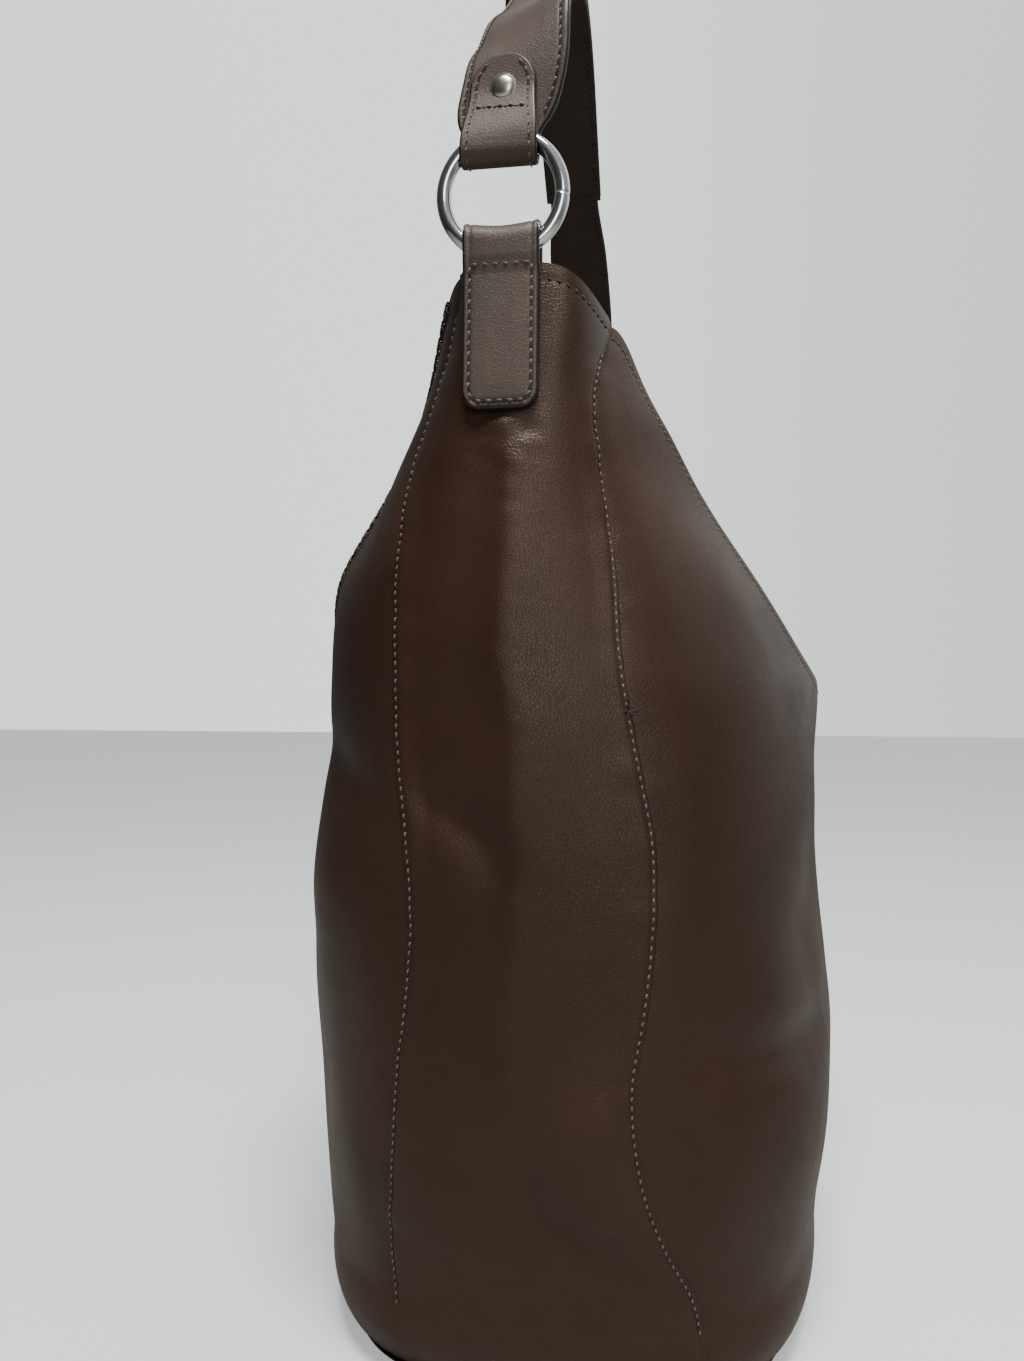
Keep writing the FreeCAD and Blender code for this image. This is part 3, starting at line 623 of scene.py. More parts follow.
def grid_line(outer, across, field, distance, keep=slice(None)):
    """Line on a grid at a fixed distance from one edge, with its normals. The field is that distance, and
    it grows along the grid's first axis for a side edge and along its second for the top (across)."""
    normals, _ = outward(outer)
    if not across:
        outer, normals, field = (np.swapaxes(a, 0, 1) for a in (outer, normals, field))
    lines = []
    for places, ups, run in zip(outer, normals, field):
        order = np.argsort(run)
        both = np.concatenate([places, ups], axis=1)[order]
        lines.append([np.interp(distance, run[order], both[:, c]) for c in range(6)])
    lines = np.array(lines)[keep]
    return lines[:, :3], lines[:, 3:]


def edge_run(outer, first):
    """Distance from the first or last row of a grid."""
    steps = np.linalg.norm(np.diff(outer, axis=0), axis=-1)
    run = np.concatenate([np.zeros((1, outer.shape[1])), np.cumsum(steps, axis=0)])
    return run if first else run[-1] - run


def loose_thread(outer):
    """Knotted end of dark thread on the seam of the near gusset at the back."""
    row = int(np.argmin(np.abs(outer[-1, :, 2] - THREAD_END_Z)))
    field = edge_run(outer, outer[0, row, 1] > outer[-1, row, 1])
    points, ups = grid_line(outer, False, field, STITCH_IN, slice(row, row + 1))
    start, up = points[0], ups[0]
    for k, bend in enumerate(((0.0, 2.2, 0.6), (2.6, 0.3, 1.4), (-1.6, 1.4, 0.8))):
        curve = []
        for t in np.linspace(-0.4, 1, 9):
            hang = np.array([0, bend[1] * t * 1.6, bend[0] * t + bend[2] * t * t])
            curve.append(start + up * (0.4 + 0.5 * t) + hang)
        add_piece(f"loose_thread_{k}", *tube(curve, 0.34), [dark_leather], "bag", "thread")


def tube(curve, radius, sides=8):
    """Closed thread along a curve."""
    curve = np.array(curve)
    way = np.gradient(curve, axis=0)
    way /= np.linalg.norm(way, axis=1, keepdims=True)
    first = np.cross(way, [1.0, 0.2, 0.1])
    first /= np.linalg.norm(first, axis=1, keepdims=True)
    second = np.cross(way, first)
    turn = 2 * math.pi * np.arange(sides) / sides
    rings = [p + radius * (np.outer(np.cos(turn), f) + np.outer(np.sin(turn), g))
             for p, f, g in zip(curve, first, second)]
    return np.concatenate(rings), ring_skin(len(rings), sides)


# ---------------------------------------------------------------- leather strips
def spread(low, high, count):
    return list(np.linspace(low, high, count))


def arc_points(centre, radius, start, stop, count):
    return [
        (centre[0] + radius * math.cos(math.radians(t)), centre[1] + radius * math.sin(math.radians(t)))
        for t in spread(start, stop, count)
    ]


def strap_line():
    """The strap's line from the ring's centre height up to the apex, as (a, h) points."""
    points = [(STRAP_A, h) for h in spread(0, STRAP_RISE, 9)]
    points += arc_points((STRAP_A - STRAP_BEND_R, STRAP_RISE), STRAP_BEND_R, 0, STRAP_TURN, 10)[1:]
    slope = math.radians(90 - STRAP_TURN)
    a, h = points[-1]
    run = (a + RING_X - STRAP_APEX_R * math.sin(slope)) / math.cos(slope)
    for s in spread(0, run, 17)[1:]:
        points.append((a - s * math.cos(slope), h + s * math.sin(slope)))
    top = (-RING_X, points[-1][1] - STRAP_APEX_R * math.cos(slope))
    return points + arc_points(top, STRAP_APEX_R, STRAP_TURN, 90, 8)[1:]


PADDLE_ASKEW = ("length", PADDLE_TURN, PADDLE_DRIFT)
TONGUE_ASKEW = ("height", TONGUE_TURN, TONGUE_DRIFT)


class Strip:
    """A band along a path in the plane of the strap. Lift is to the right of the path's direction."""

    def __init__(self, end, path, half_at, start=0.0, stop=None, step=0.8, askew=None, sagging=False):
        path = np.array(path, float)
        run = np.concatenate([[0], np.cumsum(np.linalg.norm(np.diff(path, axis=0), axis=1))])
        stop = run[-1] if stop is None else stop
        near_ends = np.array([0.02, 0.1, 0.25, 0.45, 0.7, 1.0, 1.4, 1.9, 2.4, 3.0])
        inside = np.arange(start + 3.6, stop - 3.6, step)
        self.s = np.concatenate([start + near_ends, inside, (stop - near_ends)[::-1]])
        smooth = np.linspace(0, run[-1], 1500)
        line = np.stack([np.interp(smooth, run, path[:, k]) for k in range(2)], axis=1)
        for _ in range(60):
            line[1:-1] = (line[:-2] + 2 * line[1:-1] + line[2:]) / 4
        self.smooth, self.line = smooth, line
        way = np.gradient(line, axis=0)
        self.way = way / np.linalg.norm(way, axis=1, keepdims=True)
        self.end, self.half_at, self.start, self.stop = end, half_at, start, stop
        self.askew, self.sagging = askew, sagging
        self.out = 1 if self.way[0, 1] > 0 else -1

    def at(self, s, y, lift=0.0):
        a, h = (np.interp(s, self.smooth, self.line[:, k]) for k in range(2))
        wa, wh = (np.interp(s, self.smooth, self.way[:, k]) for k in range(2))
        if self.askew:
            by, turns, drifts = self.askew
            place = h if by == "height" else s
            turn = np.radians(knots(turns, place))
            lift, y = (lift * np.cos(turn) + y * np.sin(turn) * self.out,
                       y * np.cos(turn) - lift * np.sin(turn) * self.out + knots(drifts, place))
        a, h = a + wh * lift, h - wa * lift
        y = y + 0 * a
        if self.sagging:
            h = h - (0.4 + 2.0 * (1 - (y / STRIP_HALF) ** 2)) * ramp(h, -24, -15)
        return np.stack([self.end * (RING_X + a), RING_Y + y, RING_Z + h], axis=-1)

    def normal(self, s):
        step = 0.5
        middle = 0 * np.asarray(s, float)
        along = self.at(s + step, middle) - self.at(s - step, middle)
        across = self.at(s, middle + step) - self.at(s, middle - step)
        normal = np.cross(across, along) * self.end
        return normal / np.linalg.norm(normal, axis=-1, keepdims=True)

    def height(self, s):
        return np.interp(s, self.smooth, self.line[:, 1])

    def row(self, s, y, lift):
        """A stitch row on the face at a lift."""
        s = np.asarray(s, float)
        side = 1 if lift > 0 else -1
        return self.at(s, np.asarray(y, float) + 0 * s, lift), self.normal(s) * side

    def mesh(self, low, high, crown=0.0, groove=EDGE_STITCH, relief=None):
        """Closed strip between two lifts, with rounded edges and a sunk stitch line."""
        share = np.sin(math.pi / 2 * np.linspace(-1, 1, 49))
        share = np.sign(share) * np.abs(share) ** 0.9
        s, q = np.meshgrid(self.s, share, indexing="ij")
        half = self.half_at(self, s)
        y = q * half
        thick = (high - low) / 2
        gap = np.minimum(half * (1 - np.abs(q)), np.minimum(s - self.start, self.stop - s))
        gap = np.clip(gap, 0, None)
        soft = np.minimum(gap / thick, 1)
        shape = np.sqrt(np.maximum(0, 1 - (1 - soft) ** 2))
        bulge = crown * np.minimum(1, gap / 8) ** 0.7
        sunk = 0.28 * bump(gap, groove, 0.55) if groove else 0
        extra = relief(s, y) if relief else 0
        middle = (high + low) / 2
        top = self.at(s, y, middle + shape * (thick + bulge - sunk + extra))
        under = self.at(s, y, middle - shape * thick)
        if self.end > 0:
            top, under = top[::-1], under[::-1]
        points, faces = closed_sheet(top, under)
        edge = gap < thick * 0.85
        if self.end > 0:
            edge = edge[::-1]
        quad_edge = edge[:-1, :-1] & edge[1:, 1:]
        index = np.concatenate([quad_edge.ravel(), quad_edge.ravel()])
        index = np.concatenate([index, np.ones(len(faces) - len(index), bool)])
        return points, faces, index


def merge(parts):
    """One mesh out of several (points, faces, indices)."""
    points, faces, indices, start = [], [], [], 0
    for p, f, k in parts:
        points.append(p)
        faces += [[int(i) + start for i in face] for face in f]
        indices.append(np.asarray(k, int))
        start += len(p)
    return np.concatenate(points), faces, np.concatenate(indices)


def paddle_half(strip, s):
    return knots(PADDLE_HALF, strip.height(s))


def tongue_half(strip, s):
    base = knots([(0, STRIP_HALF), (18, STRIP_HALF), (32, TONGUE_HALF), (60, TONGUE_HALF)], strip.height(s))
    gap = np.clip(s - strip.start, 0, TONGUE_HALF)
    on_face = s < strip.start + TONGUE_HALF
    return np.where(on_face, np.sqrt(np.maximum(0.05, TONGUE_HALF**2 - (TONGUE_HALF - gap) ** 2)), base)


def strap_end(end):
    """Paddle, its lining and the tongue round the ring, with their stitching."""
    name = END_NAMES[end]
    path = strap_line()
    askew = (PADDLE_ASKEW, TONGUE_ASKEW) if end > 0 else (None, None)
    broad = Strip(end, path, paddle_half, LOOP_H, PADDLE_END, askew=askew[0])
    leg = STRAP_A + 1.5 + 0.1 + STRIP / 2
    turn = [(leg + (LOOP_R - leg) * float(ramp(37 - h, 0, 21)), h) for h in spread(TONGUE_TOP, 16.5, 21)]
    turn += arc_points((0, LOOP_H), LOOP_R, 0, -180, 13)
    tongue = Strip(end, turn, tongue_half, askew=askew[1])
    # The tongue's path runs down its outer face, so its outside is on the path's left.
    parts = [broad.mesh(-0.5, 1.5, 0.5), tongue.mesh(-1.0, 1.0, 0.15)]
    points, faces, index = merge(parts)
    add_piece(f"{name}_paddle_leather", points, faces, [trim, edge_paint_and_shade], "strap", "trim_leather",
              [f"{name}_paddle"], index)
    backing = Strip(end, path, lambda strip, s: paddle_half(strip, s) - 0.35, 25, PADDLE_END,
                    askew=askew[0])
    points, faces, index = backing.mesh(-1.6, -0.6, 0.0)
    add_piece(f"{name}_paddle_backing", points, faces, [dark_leather, edge_paint_and_shade], "strap",
              "strap_lining_leather", [f"{name}_paddle_lining"], index)
    rows, inner_rows = [], []
    climb = np.arange(LOOP_H + 12, STRAP_SQUARE_END - 1, 1.0)
    for side in (-1, 1):
        half = paddle_half(broad, climb) - EDGE_STITCH
        rows.append(broad.row(climb, side * half, 1.5 + 0.25))
        inner_rows.append(backing.row(climb[12:], side * (half[12:] - 0.2), -1.6 - 0.02))
    around = np.linspace(2.6, tongue.stop - 2, 90)
    half = tongue_half(tongue, around)
    for side in (-1, 1):
        rows.append(tongue.row(around, side * (half - EDGE_STITCH), -1.0))
    lower = TONGUE_TOP - 27.0
    across = np.linspace(-9.0, 9.0, 12)
    slope = lower + across * 0.12
    rows.append((tongue.at(slope, across, -1.15), tongue.normal(slope) * -1))
    stitches(f"{name}_paddle_stitches", rows, thread, "strap", 3.2, 0.33)
    stitches(f"{name}_backing_stitches", inner_rows, dark_thread, "strap", 3.2, 0.27)
    return broad, tongue


def central_strap():
    """The wide band over the paddle ends: outer, core and lining."""
    half = strap_line()
    whole = half + [(-2 * RING_X - a, h) for a, h in reversed(half[:-1])]
    length = float(np.sum(np.linalg.norm(np.diff(np.array(whole), axis=0), axis=1)))
    wide = lambda strip, s: STRAP_HALF + 0 * s
    outer = Strip(1, whole, wide, STRAP_SQUARE_END, length - STRAP_SQUARE_END, 1.6,
                  askew=PADDLE_ASKEW)
    points, faces, index = outer.mesh(1.6, 3.4, 0.7)
    add_piece("strap_outer_leather", points, faces, [trim, edge_paint_and_shade], "strap", "trim_leather",
              ["strap_outer"], index)
    points, faces, index = outer.mesh(-2.8, -1.7, 0.0)
    add_piece("strap_lining_leather", points, faces, [dark_leather, edge_paint_and_shade], "strap",
              "strap_lining_leather", ["strap_lining"], index)
    slim = lambda strip, s: STRAP_HALF - 0.5 + 0 * s
    core = Strip(1, whole, slim, STRAP_SQUARE_END + 0.6, length - STRAP_SQUARE_END - 0.6, 3.0,
                 askew=PADDLE_ASKEW)
    points, faces, index = core.mesh(-1.65, 1.55, 0.0, groove=0)
    add_piece("strap_core_filler", points, faces, [edge_paint_and_shade], "strap", "foam", ["strap_core"])
    s = np.arange(STRAP_SQUARE_END + EDGE_STITCH, length - STRAP_SQUARE_END - EDGE_STITCH, 1.0)
    across = np.linspace(-STRAP_HALF + EDGE_STITCH, STRAP_HALF - EDGE_STITCH, 12)
    for lift, label, colour in ((3.55, "outer", thread), (-2.78, "inner", dark_thread)):
        rows = [outer.row(s, side * (STRAP_HALF - EDGE_STITCH), lift) for side in (-1, 1)]
        rows += [outer.row(stop + 0 * across, across, lift) for stop in (s[0], s[-1])]
        stitches(f"strap_{label}_stitches", rows, colour, "strap", 3.2, 0.32)


def tab(end):
    """Folded strip over the bottom of a ring, with its stitched box."""
    name = END_NAMES[end]
    gap = SHELL + 0.6 + LINING + 1.8

    def face(h):
        return float(half_length(np.array(RING_Z + h))) - RING_X

    outside = [(face(h) + 0.2 + STRIP / 2, h) for h in spread(-27, TAB_BOTTOM, 8)]
    inside = [(face(h) - gap - STRIP / 2, h) for h in spread(-27, TAB_INNER_BOTTOM, 7)]
    path = list(reversed(outside)) + [(LOOP_R - 0.1, -21)]
    path += arc_points((0, -LOOP_H), LOOP_R, 0, 180, 13)
    path += [(-LOOP_R + 0.1, -21)] + inside

    def half_at(strip, s):
        near = np.minimum(s - strip.start, strip.stop - s)
        near = np.clip(near, 0, TAB_CORNER)
        return STRIP_HALF - TAB_CORNER + np.sqrt(np.maximum(0.02, TAB_CORNER**2 - (TAB_CORNER - near) ** 2))

    band = Strip(end, path, half_at, sagging=True)
    points, faces, index = band.mesh(-1.0, 1.6, 0.5)
    add_piece(f"{name}_tab_leather", points, faces, [trim, edge_paint_and_shade], "bag", "trim_leather",
              [f"{name}_tab"], index)
    inset = STRIP_HALF - EDGE_STITCH
    top = -23.9 - TAB_BOTTOM
    corner = 4.0
    low = EDGE_STITCH
    bend = np.radians(np.linspace(0, 90, 7))
    s = [np.linspace(top, low + corner, 20), low + corner - corner * np.sin(bend)]
    y = [np.full(20, -inset), -inset + corner - corner * np.cos(bend)]
    s, y = np.concatenate(s), np.concatenate(y)
    s, y = np.concatenate([s, s[::-1]]), np.concatenate([y, -y[::-1]])
    rows = [(band.at(s, y, 1.85), band.normal(s))]
    across = np.linspace(-inset, inset, 12)
    rows.append((band.at(top + 0 * across, across, 1.85), band.normal(top + 0 * across)))
    stitches(f"{name}_tab_stitches", rows, thread, "bag", 3.3, 0.36)


# ---------------------------------------------------------------- hardware
def lathe(name, profile, centre, axis_x, turn, material, body, slot, nodes=(), sides=48):
    """Turned piece from (radius, distance along its axis) points. The axis is X turned about the vertical."""
    points, faces = [], []
    c, s = math.cos(turn), math.sin(turn)
    for k in range(sides):
        a = 2 * math.pi * k / sides
        for r, d in profile:
            x, y = axis_x * d, r * math.cos(a)
            points.append((centre[0] + x * c + y * s, centre[1] + y * c - x * s, centre[2] + r * math.sin(a)))
    n = len(profile)
    for k in range(sides):
        for i in range(n - 1):
            a, b = k * n + i, ((k + 1) % sides) * n + i
            quad = [a, a + 1, b + 1, b]
            faces.append(quad[::-1] if axis_x > 0 else quad)
    return add_piece(name, points, faces, [material], body, slot, nodes, sharp=40)


def ring(end):
    """Round wire ring with the fine line of its butt joint."""
    name = END_NAMES[end]
    around, sides = 360, 24
    points = []
    for i in range(around):
        t = 2 * math.pi * i / around
        wire = WIRE_R * (1 - 0.12 * math.exp(-(((t - math.radians(356)) / 0.018) ** 2)))
        for k in range(sides):
            a = 2 * math.pi * k / sides
            r = RING_R + wire * math.cos(a)
            x = end * RING_X + wire * math.sin(a)
            points.append((x, RING_Y + r * math.cos(t), RING_Z + r * math.sin(t)))
    faces = ring_skin(around, sides, closed=True)
    add_piece(f"{name}_ring_wire", points, faces, [chrome], f"{name}_ring", "chrome", [f"{name}_ring"])


def rivet(end):
    name = END_NAMES[end]
    face = RING_X + STRAP_A + 1.5 + 0.1 + STRIP + 0.12
    turn = np.radians(np.linspace(0, 90, 12))
    dome = [(RIVET_R * 0.82 * math.cos(t), 0.45 + 1.35 * math.sin(t)) for t in turn]
    brim = [(-0.5, -0.3), (-0.12, -0.1), (0, 0.15), (-0.1, 0.38)]
    profile = [(0.001, -0.3)] + [(RIVET_R + reach, high) for reach, high in brim]
    profile += [(RIVET_R * 0.9, 0.45)] + dome[:-1] + [(0.001, 1.8)]
    tilt = math.radians(float(knots(TONGUE_TURN, RIVET_H))) if end > 0 else 0.0
    lathe(f"{name}_rivet_cap", profile, (end * face, RING_Y, RING_Z + RIVET_H), end, tilt, nickel, "strap",
          "chrome", ["rivet_caps"])
    back = RING_X + STRAP_A - 1.65
    profile = [(0.001, -0.8), (1.2, -0.7), (2.6, -0.45), (3.3, -0.1), (3.5, 0.1), (0.001, 0.1)]
    lathe(f"{name}_rivet_back", profile, (end * back, RING_Y, RING_Z + RIVET_H), end, tilt, nickel, "strap",
          "chrome", ["rivet_backs"])


# ---------------------------------------------------------------- lacing on the front rim
def rim_lacing(outer):
    """Clusters of fine strands wound over the front rim."""
    rim = outer[:, -1]
    below = outer[:, -12]
    normals, _ = outward(outer)
    up = rim - below
    up /= np.linalg.norm(up, axis=1, keepdims=True)
    run = np.concatenate([[0], np.cumsum(np.linalg.norm(np.diff(rim, axis=0), axis=1))])
    out = normals[:, -14]

    def at(s, field):
        return np.array([np.interp(s, run, field[:, k]) for k in range(3)])

    points, faces = [], []
    sides = 6
    count = int((run[-1] - 2 * LACE_START) / LACE_PITCH)
    for c in range(count):
        for strand in range(4):
            s0 = LACE_START + c * LACE_PITCH + strand * 1.05
            path = []
            depth = 5.4 + 0.3 * math.sin(2.4 * c + strand)
            turn = [
                (depth, -0.2, 3.0), (depth - 0.7, 0.5, 2.8), (depth * 0.55, 0.7, 1.9), (1.0, 0.85, 0.9),
                (-0.6, 0.4, 0.5), (-0.95, -0.8, 0.0), (-0.9, -2.2, -0.5), (-0.1, -3.6, -1.0),
                (2.6, -3.9, -1.8), (depth - 1, -3.7, -2.6), (depth - 0.3, -2.8, -2.8),
            ]
            for drop, lift, shift in turn:
                p, n, u = at(s0 + shift, rim), at(s0 + shift, out), at(s0 + shift, up)
                path.append(p + n * lift - u * drop)
            path = np.array(path)
            way = np.gradient(path, axis=0)
            way /= np.linalg.norm(way, axis=1, keepdims=True)
            along = at(s0 + 1, rim) - at(s0, rim)
            along /= np.linalg.norm(along)
            faces += ring_skin(len(path), sides, len(points))
            for p, w in zip(path, way):
                flat = along - w * np.dot(along, w)
                flat /= np.linalg.norm(flat)
                deep = np.cross(w, flat)
                for k in range(sides):
                    a = 2 * math.pi * k / sides
                    points.append(p + flat * math.cos(a) * 0.52 + deep * math.sin(a) * 0.42)
    add_piece("rim_lacing_cord", points, faces, [lace], "bag", "lacing", ["rim_lacing"])


# ---------------------------------------------------------------- materials
class Nodes:
    """Short way to add and link shader nodes."""

    def __init__(self, name):
        self.material = bpy.data.materials.new(name)
        self.material.use_nodes = True
        self.tree = self.material.node_tree
        self.shader = next(n for n in self.tree.nodes if n.type == "BSDF_PRINCIPLED")

    def add(self, kind, inputs=None, **settings):
        node = self.tree.nodes.new(kind)
        for key, value in settings.items():
            setattr(node, key, value)
        for key, value in (inputs or {}).items():
            if isinstance(value, bpy.types.NodeSocket):
                self.tree.links.new(value, node.inputs[key])
            else:
                node.inputs[key].default_value = value
        return node

    def object_coordinates(self, scale=(1, 1, 1)):
        place = self.add("ShaderNodeTexCoord").outputs["Object"]
        return self.add("ShaderNodeMapping", {"Vector": place, "Scale": scale}).outputs["Vector"]

    def noise(self, scale, detail=3.0, rough=0.5, vector=None):
        inputs = {"Scale": scale, "Detail": detail, "Roughness": rough}
        inputs["Vector"] = vector if vector is not None else self.object_coordinates()
        return self.add("ShaderNodeTexNoise", inputs).outputs["Fac"]

    def span(self, value, from_low, from_high, to_low, to_high):
        inputs = {"Value": value, "From Min": from_low, "From Max": from_high}
        inputs.update({"To Min": to_low, "To Max": to_high})
        return self.add("ShaderNodeMapRange", inputs).outputs["Result"]

    def mix(self, factor, one, two, blend="MIX"):
        node = self.add("ShaderNodeMix", data_type="RGBA", blend_type=blend)
        for socket, value in ((node.inputs[0], factor), (node.inputs[6], one), (node.inputs[7], two)):
            if isinstance(value, bpy.types.NodeSocket):
                self.tree.links.new(value, socket)
            else:
                socket.default_value = value
        return node.outputs[2]

    def bumps(self, layers):
        """Bump nodes in a chain from (height, distance, strength) layers."""
        normal = None
        for value, distance, strength in layers:
            inputs = {"Height": value, "Distance": distance, "Strength": strength}
            if normal is not None:
                inputs["Normal"] = normal
            normal = self.add("ShaderNodeBump", inputs).outputs["Normal"]
        return normal

    def set(self, **values):
        for key, value in values.items():
            socket = self.shader.inputs[key.replace("_", " ")]
            if isinstance(value, bpy.types.NodeSocket):
                self.tree.links.new(value, socket)
            else:
                socket.default_value = value
        return self.material


def leather_material(name, dark, light, rough, coat, pores=900.0, bump_depth=0.00009):
    m = Nodes(name)
    cloud = m.noise(9.0, 4.0, 0.6)
    fine = m.noise(120.0, 3.0, 0.6)
    colour = m.mix(m.span(cloud, 0.35, 0.65, 0, 1), dark, light)
    colour = m.mix(m.span(fine, 0.3, 0.7, 0.0, 0.18), colour, tuple(c * 0.6 for c in dark[:3]) + (1,))
    grain = m.add("ShaderNodeTexVoronoi", {"Scale": pores, "Vector": m.object_coordinates()},
                  feature="DISTANCE_TO_EDGE").outputs["Distance"]
    normal = m.bumps([
        (m.noise(45.0, 4.0, 0.6), 0.0006, 0.35),
        (m.span(grain, 0.0, 0.12, 0.0, 1.0), bump_depth, 0.45),
        (m.noise(2400.0, 2.0, 0.5), 0.00004, 0.4),
    ])
    roughness = m.span(m.noise(30.0, 4.0, 0.6), 0.3, 0.7, rough - 0.05, rough + 0.07)
    return m.set(Base_Color=colour, Roughness=roughness, Normal=normal, Coat_Weight=coat, Coat_Roughness=0.32,
                 Specular_IOR_Level=0.45, Specular_Tint=(1.0, 0.86, 0.74, 1))


def thread_material(name, colour):
    m = Nodes(name)
    twist = m.add("ShaderNodeTexWave", {"Scale": 900.0, "Vector": m.object_coordinates((1, 1, 0.6)),
                                        "Distortion": 2.0}).outputs["Fac"]
    shade = m.mix(m.span(m.noise(300.0), 0.3, 0.7, 0, 1), colour, tuple(c * 0.55 for c in colour[:3]) + (1,))
    return m.set(Base_Color=shade, Roughness=0.6, Normal=m.bumps([(twist, 0.0001, 0.6)]), Sheen_Weight=0.2)


def metal_material(name, colour, rough):
    m = Nodes(name)
    smudge = m.noise(220.0, 4.0, 0.6)
    roughness = m.span(smudge, 0.3, 0.7, rough - 0.05, rough + 0.05)
    return m.set(Base_Color=colour, Metallic=1.0, Roughness=roughness,
                 Normal=m.bumps([(m.noise(700.0), 0.00002, 0.3)]))


def cloth_material(name, colour, threads=1400.0):
    m = Nodes(name)
    weave = []
    for way in ((1, 0, 0), (0, 0, 1)):
        vector = m.object_coordinates(tuple(1.0 if c else 0.02 for c in way))
        weave.append(m.add("ShaderNodeTexWave", {"Scale": threads / 6, "Vector": vector, "Distortion": 0.6},
                           bands_direction="X" if way[0] else "Z").outputs["Fac"])
    woven = m.add("ShaderNodeMath", {0: weave[0], 1: weave[1]}, operation="MAXIMUM").outputs[0]
    dark = tuple(c * 0.7 for c in colour[:3]) + (1,)
    shade = m.mix(m.span(m.noise(25.0, 4.0), 0.3, 0.7, 0, 1), colour, dark)
    shade = m.mix(m.span(woven, 0, 1, 0.35, 0), shade, (0.01, 0.008, 0.006, 1))
    return m.set(Base_Color=shade, Roughness=0.85, Sheen_Weight=0.25, Normal=m.bumps([(woven, 0.00025, 0.6)]))


def plain_material(name, colour, rough):
    m = Nodes(name)
    mottle = m.noise(150.0, 4.0, 0.6)
    shade = m.mix(m.span(mottle, 0.3, 0.7, 0, 1), colour, tuple(c * 0.75 for c in colour[:3]) + (1,))
    return m.set(Base_Color=shade, Roughness=m.span(mottle, 0.3, 0.7, rough - 0.05, rough + 0.08),
                 Normal=m.bumps([(mottle, 0.00015, 0.4)]))


leather = leather_material("body leather", (0.030, 0.0138, 0.0078, 1), (0.046, 0.0215, 0.0125, 1), 0.38, 0.0)
trim = leather_material("trim leather", (0.056, 0.042, 0.033, 1), (0.073, 0.055, 0.044, 1), 0.50, 0.0)
dark_leather = leather_material(
    "strap lining leather", (0.026, 0.018, 0.014, 1), (0.036, 0.025, 0.020, 1), 0.6, 0.0,
)
# Near-black: real edge paint on cut edges, and painted shade in the seams and needle holes.
edge_paint_and_shade = plain_material("edge paint and painted shade", (0.010, 0.010, 0.010, 1), 0.4)
lace = leather_material("lacing", (0.014, 0.009, 0.007, 1), (0.024, 0.015, 0.011, 1), 0.5, 0.0)
thread = thread_material("taupe thread", (0.17, 0.13, 0.10, 1))
dark_thread = thread_material("brown thread", (0.045, 0.028, 0.02, 1))
chrome = metal_material("chrome", (0.90, 0.90, 0.91, 1), 0.12)
lining = cloth_material("lining", (0.13, 0.10, 0.075, 1))
tape = cloth_material("zip tape", (0.030, 0.022, 0.017, 1))
board = plain_material("board", (0.2, 0.17, 0.13, 1), 0.8)
nickel = metal_material("nickel", (0.66, 0.61, 0.53, 1), 0.27)


# ---------------------------------------------------------------- build
front = side_panel(-1)
back = side_panel(1)
near = gusset(1)
far = gusset(-1)
inner_sheets()
base()
for end_side in (1, -1):
    strap_end(end_side)
    tab(end_side)
    ring(end_side)
    rivet(end_side)
central_strap()
rim_lacing(front)
pocket(-1)
pocket(1)
zip_tape()

# Topstitching: on each gusset beside its seams, along its top, and along the back rim
for name, outer in (("near", near), ("far", far)):
    seams = [edge_run(outer, first) for first in (True, False)]
    lines = [grid_line(outer, False, seam, STITCH_IN, slice(14, -14)) for seam in seams]
    stitches(f"{name}_gusset_stitches", lines, thread, "bag", 2.9, 0.3)
    top = grid_line(outer, True, top_distance(outer), RIM_STITCH_IN, slice(10, -10))
    stitches(f"{name}_gusset_top_stitches", [top], dark_thread, "bag", 3.2, 0.36)
back_rim = grid_line(back, True, top_distance(back), RIM_STITCH_IN, slice(12, -12))
stitches("back_rim_stitches", [back_rim], thread, "bag", 2.9, 0.26)
loose_thread(near)

for node in frame["nodes"].values():
    for slot_ in node.material_slots:
        if node.name == "base_board":
            slot_.material = board
        elif node.name in ("zip_teeth", "zip_slider", "zip_puller", "snap_socket", "snap_stud"):
            slot_.material = nickel


# ---------------------------------------------------------------- stage
# Brightness of the surroundings along X and Y, as (share of the way from - to +, level)
WORLD_BY_X = [(0.0, 1.0), (0.25, 0.95), (0.55, 0.35), (1.0, 0.3)]
WORLD_BY_Y = [(0.0, 0.10), (0.35, 0.22), (0.6, 1.0), (1.0, 0.8)]
WORLD_BY_Z = [(0.0, 0.3), (0.45, 0.5), (0.7, 1.0), (1.0, 1.2)]
WORLD_TINT = (0.95, 1.0, 0.985, 1)
WORLD_STRENGTH = 1.0
BACKDROP = [(0.0, 1.0), (0.42, 1.45), (0.5, 1.3), (0.62, 1.1), (1.0, 1.1)]  # as the camera sees it, along Y


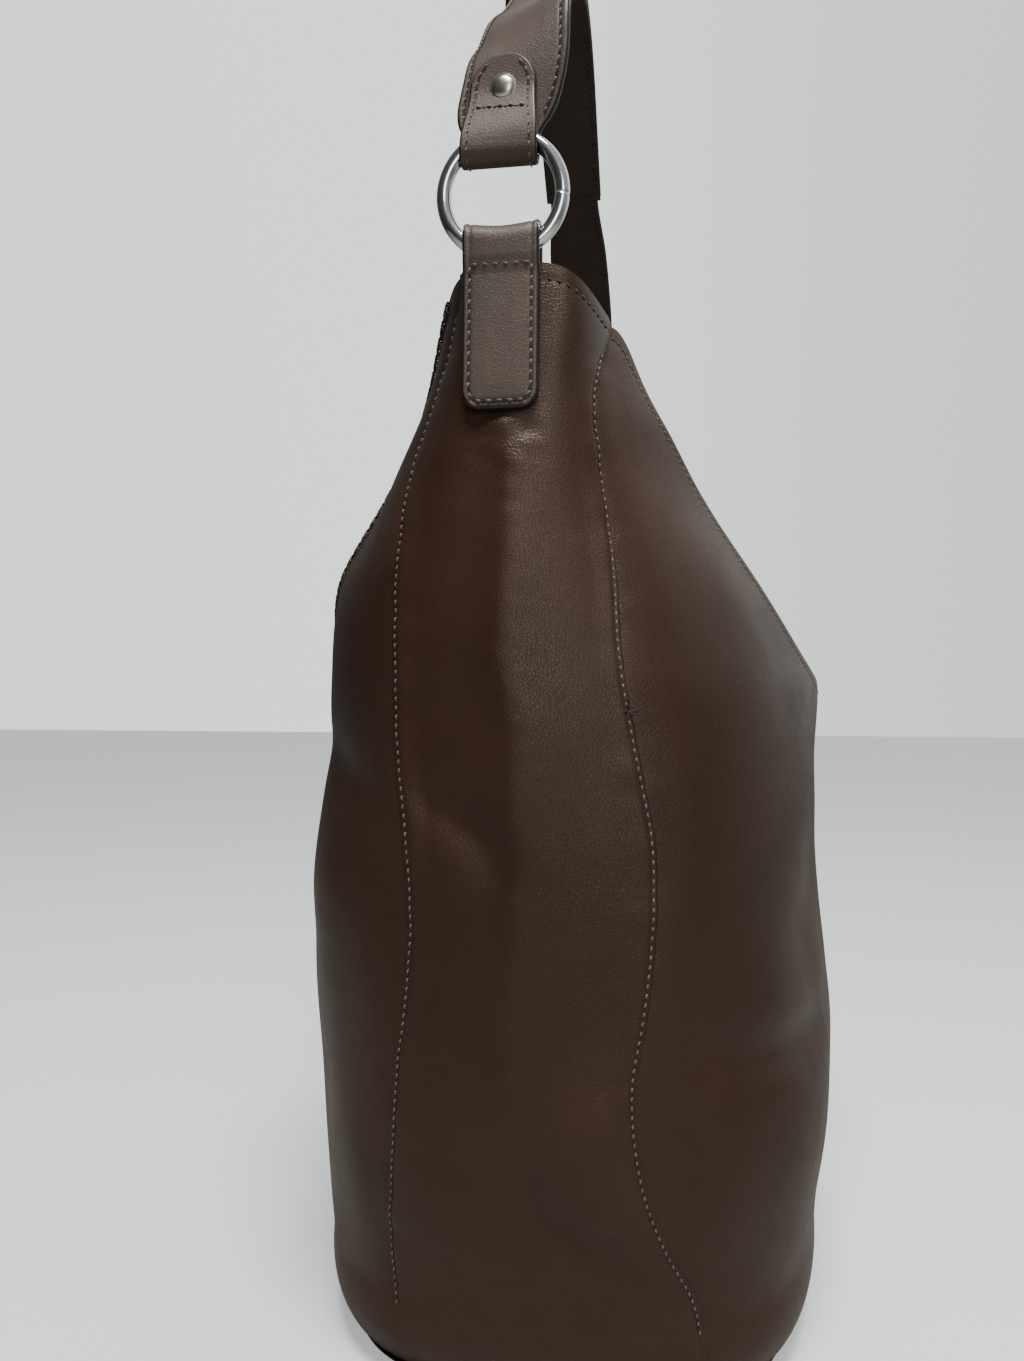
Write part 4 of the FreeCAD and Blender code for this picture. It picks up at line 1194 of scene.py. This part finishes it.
def stage():
    mesh = bpy.data.meshes.new("floor")
    mesh.from_pydata([(-4, -4, 0), (4, -4, 0), (4, 4, 0), (-4, 4, 0)], [], [(0, 1, 2, 3)])
    floor = bpy.data.objects.new("floor", mesh)
    bpy.context.scene.collection.objects.link(floor)
    m = Nodes("pale floor")
    seen = m.add("ShaderNodeLightPath").outputs["Is Camera Ray"]
    mesh.materials.append(m.set(Base_Color=m.mix(seen, (0.38, 0.36, 0.33, 1), (0.80, 0.82, 0.81, 1)),
                                Roughness=0.7, Emission_Color=(0.93, 1.0, 0.97, 1),
                                Emission_Strength=m.span(seen, 0, 1, 0, 0.42)))
    world = bpy.data.worlds.new("studio")
    bpy.context.scene.world = world
    world.use_nodes = True
    tree = world.node_tree
    place = tree.nodes.new("ShaderNodeTexCoord").outputs["Generated"]
    parts = tree.nodes.new("ShaderNodeSeparateXYZ")
    tree.links.new(place, parts.inputs[0])
    ramps = []
    shares = {}
    for axis, stops in (("X", WORLD_BY_X), ("Y", WORLD_BY_Y), ("Z", WORLD_BY_Z)):
        span = tree.nodes.new("ShaderNodeMapRange")
        span.inputs["From Min"].default_value = -1
        span.inputs["From Max"].default_value = 1
        tree.links.new(parts.outputs[axis], span.inputs["Value"])
        tones = tree.nodes.new("ShaderNodeValToRGB")
        tones.color_ramp.interpolation = "EASE"
        while len(tones.color_ramp.elements) < len(stops):
            tones.color_ramp.elements.new(0.5)
        for element, (at, level) in zip(tones.color_ramp.elements, stops):
            element.position = at
            element.color = (level, level, level, 1)
        tree.links.new(span.outputs["Result"], tones.inputs["Fac"])
        ramps.append(tones.outputs["Color"])
        shares[axis] = span.outputs["Result"]
    level = ramps[0]
    for other in ramps[1:] + [WORLD_TINT]:
        blend = tree.nodes.new("ShaderNodeMix")
        blend.data_type = "RGBA"
        blend.blend_type = "MULTIPLY"
        blend.inputs[0].default_value = 1.0
        tree.links.new(level, blend.inputs[6])
        if other == WORLD_TINT:
            blend.inputs[7].default_value = other
        else:
            tree.links.new(other, blend.inputs[7])
        level = blend.outputs[2]
    sky = tree.nodes["Background"]
    tree.links.new(level, sky.inputs["Color"])
    sky.inputs["Strength"].default_value = WORLD_STRENGTH
    seen = tree.nodes.new("ShaderNodeBackground")
    seen.inputs["Color"].default_value = (0.94, 1.0, 0.975, 1)
    span = tree.nodes.new("ShaderNodeFloatCurve")
    tree.links.new(shares["Y"], span.inputs["Value"])
    curve = span.mapping.curves[0]
    for at, level in BACKDROP[1:-1]:
        curve.points.new(at, level / 2)
    curve.points[0].location = (0.0, BACKDROP[0][1] / 2)
    curve.points[-1].location = (1.0, BACKDROP[-1][1] / 2)
    span.mapping.update()
    double = tree.nodes.new("ShaderNodeMath")
    double.operation = "MULTIPLY"
    double.inputs[1].default_value = 2.0
    tree.links.new(span.outputs["Value"], double.inputs[0])
    tree.links.new(double.outputs[0], seen.inputs["Strength"])
    rays = tree.nodes.new("ShaderNodeLightPath")
    choose = tree.nodes.new("ShaderNodeMixShader")
    tree.links.new(rays.outputs["Is Camera Ray"], choose.inputs[0])
    tree.links.new(sky.outputs[0], choose.inputs[1])
    tree.links.new(seen.outputs[0], choose.inputs[2])
    tree.links.new(choose.outputs[0], tree.nodes["World Output"].inputs["Surface"])


def lamp(name, place, aim, size, power, colour=(1, 1, 1)):
    data = bpy.data.lights.new(name, "AREA")
    data.shape = "RECTANGLE"
    data.size, data.size_y = size
    data.energy = power
    data.color = colour
    lamp_object = bpy.data.objects.new(name, data)
    lamp_object.location = place
    lamp_object.rotation_euler = (Vector(aim) - Vector(place)).to_track_quat("-Z", "Y").to_euler()
    bpy.context.scene.collection.objects.link(lamp_object)


def camera():
    data = bpy.data.cameras.new("camera")
    data.lens = 27.03
    data.clip_start = 0.02
    eye = Vector((0.4959, 0.0373, 0.236))
    way = Vector((-0.9888, -0.1495, 0))
    camera_object = bpy.data.objects.new("camera", data)
    camera_object.location = eye
    camera_object.rotation_euler = way.to_track_quat("-Z", "Y").to_euler()
    bpy.context.scene.collection.objects.link(camera_object)
    bpy.context.scene.camera = camera_object


stage()
camera()
lamp("overhead", (0.6, 0.1, 1.5), (0.15, 0, 0.2), (0.5, 0.35), 26)
lamp("front", (1.6, 0.45, 0.7), (0, 0, 0.2), (0.5, 0.9), 5)
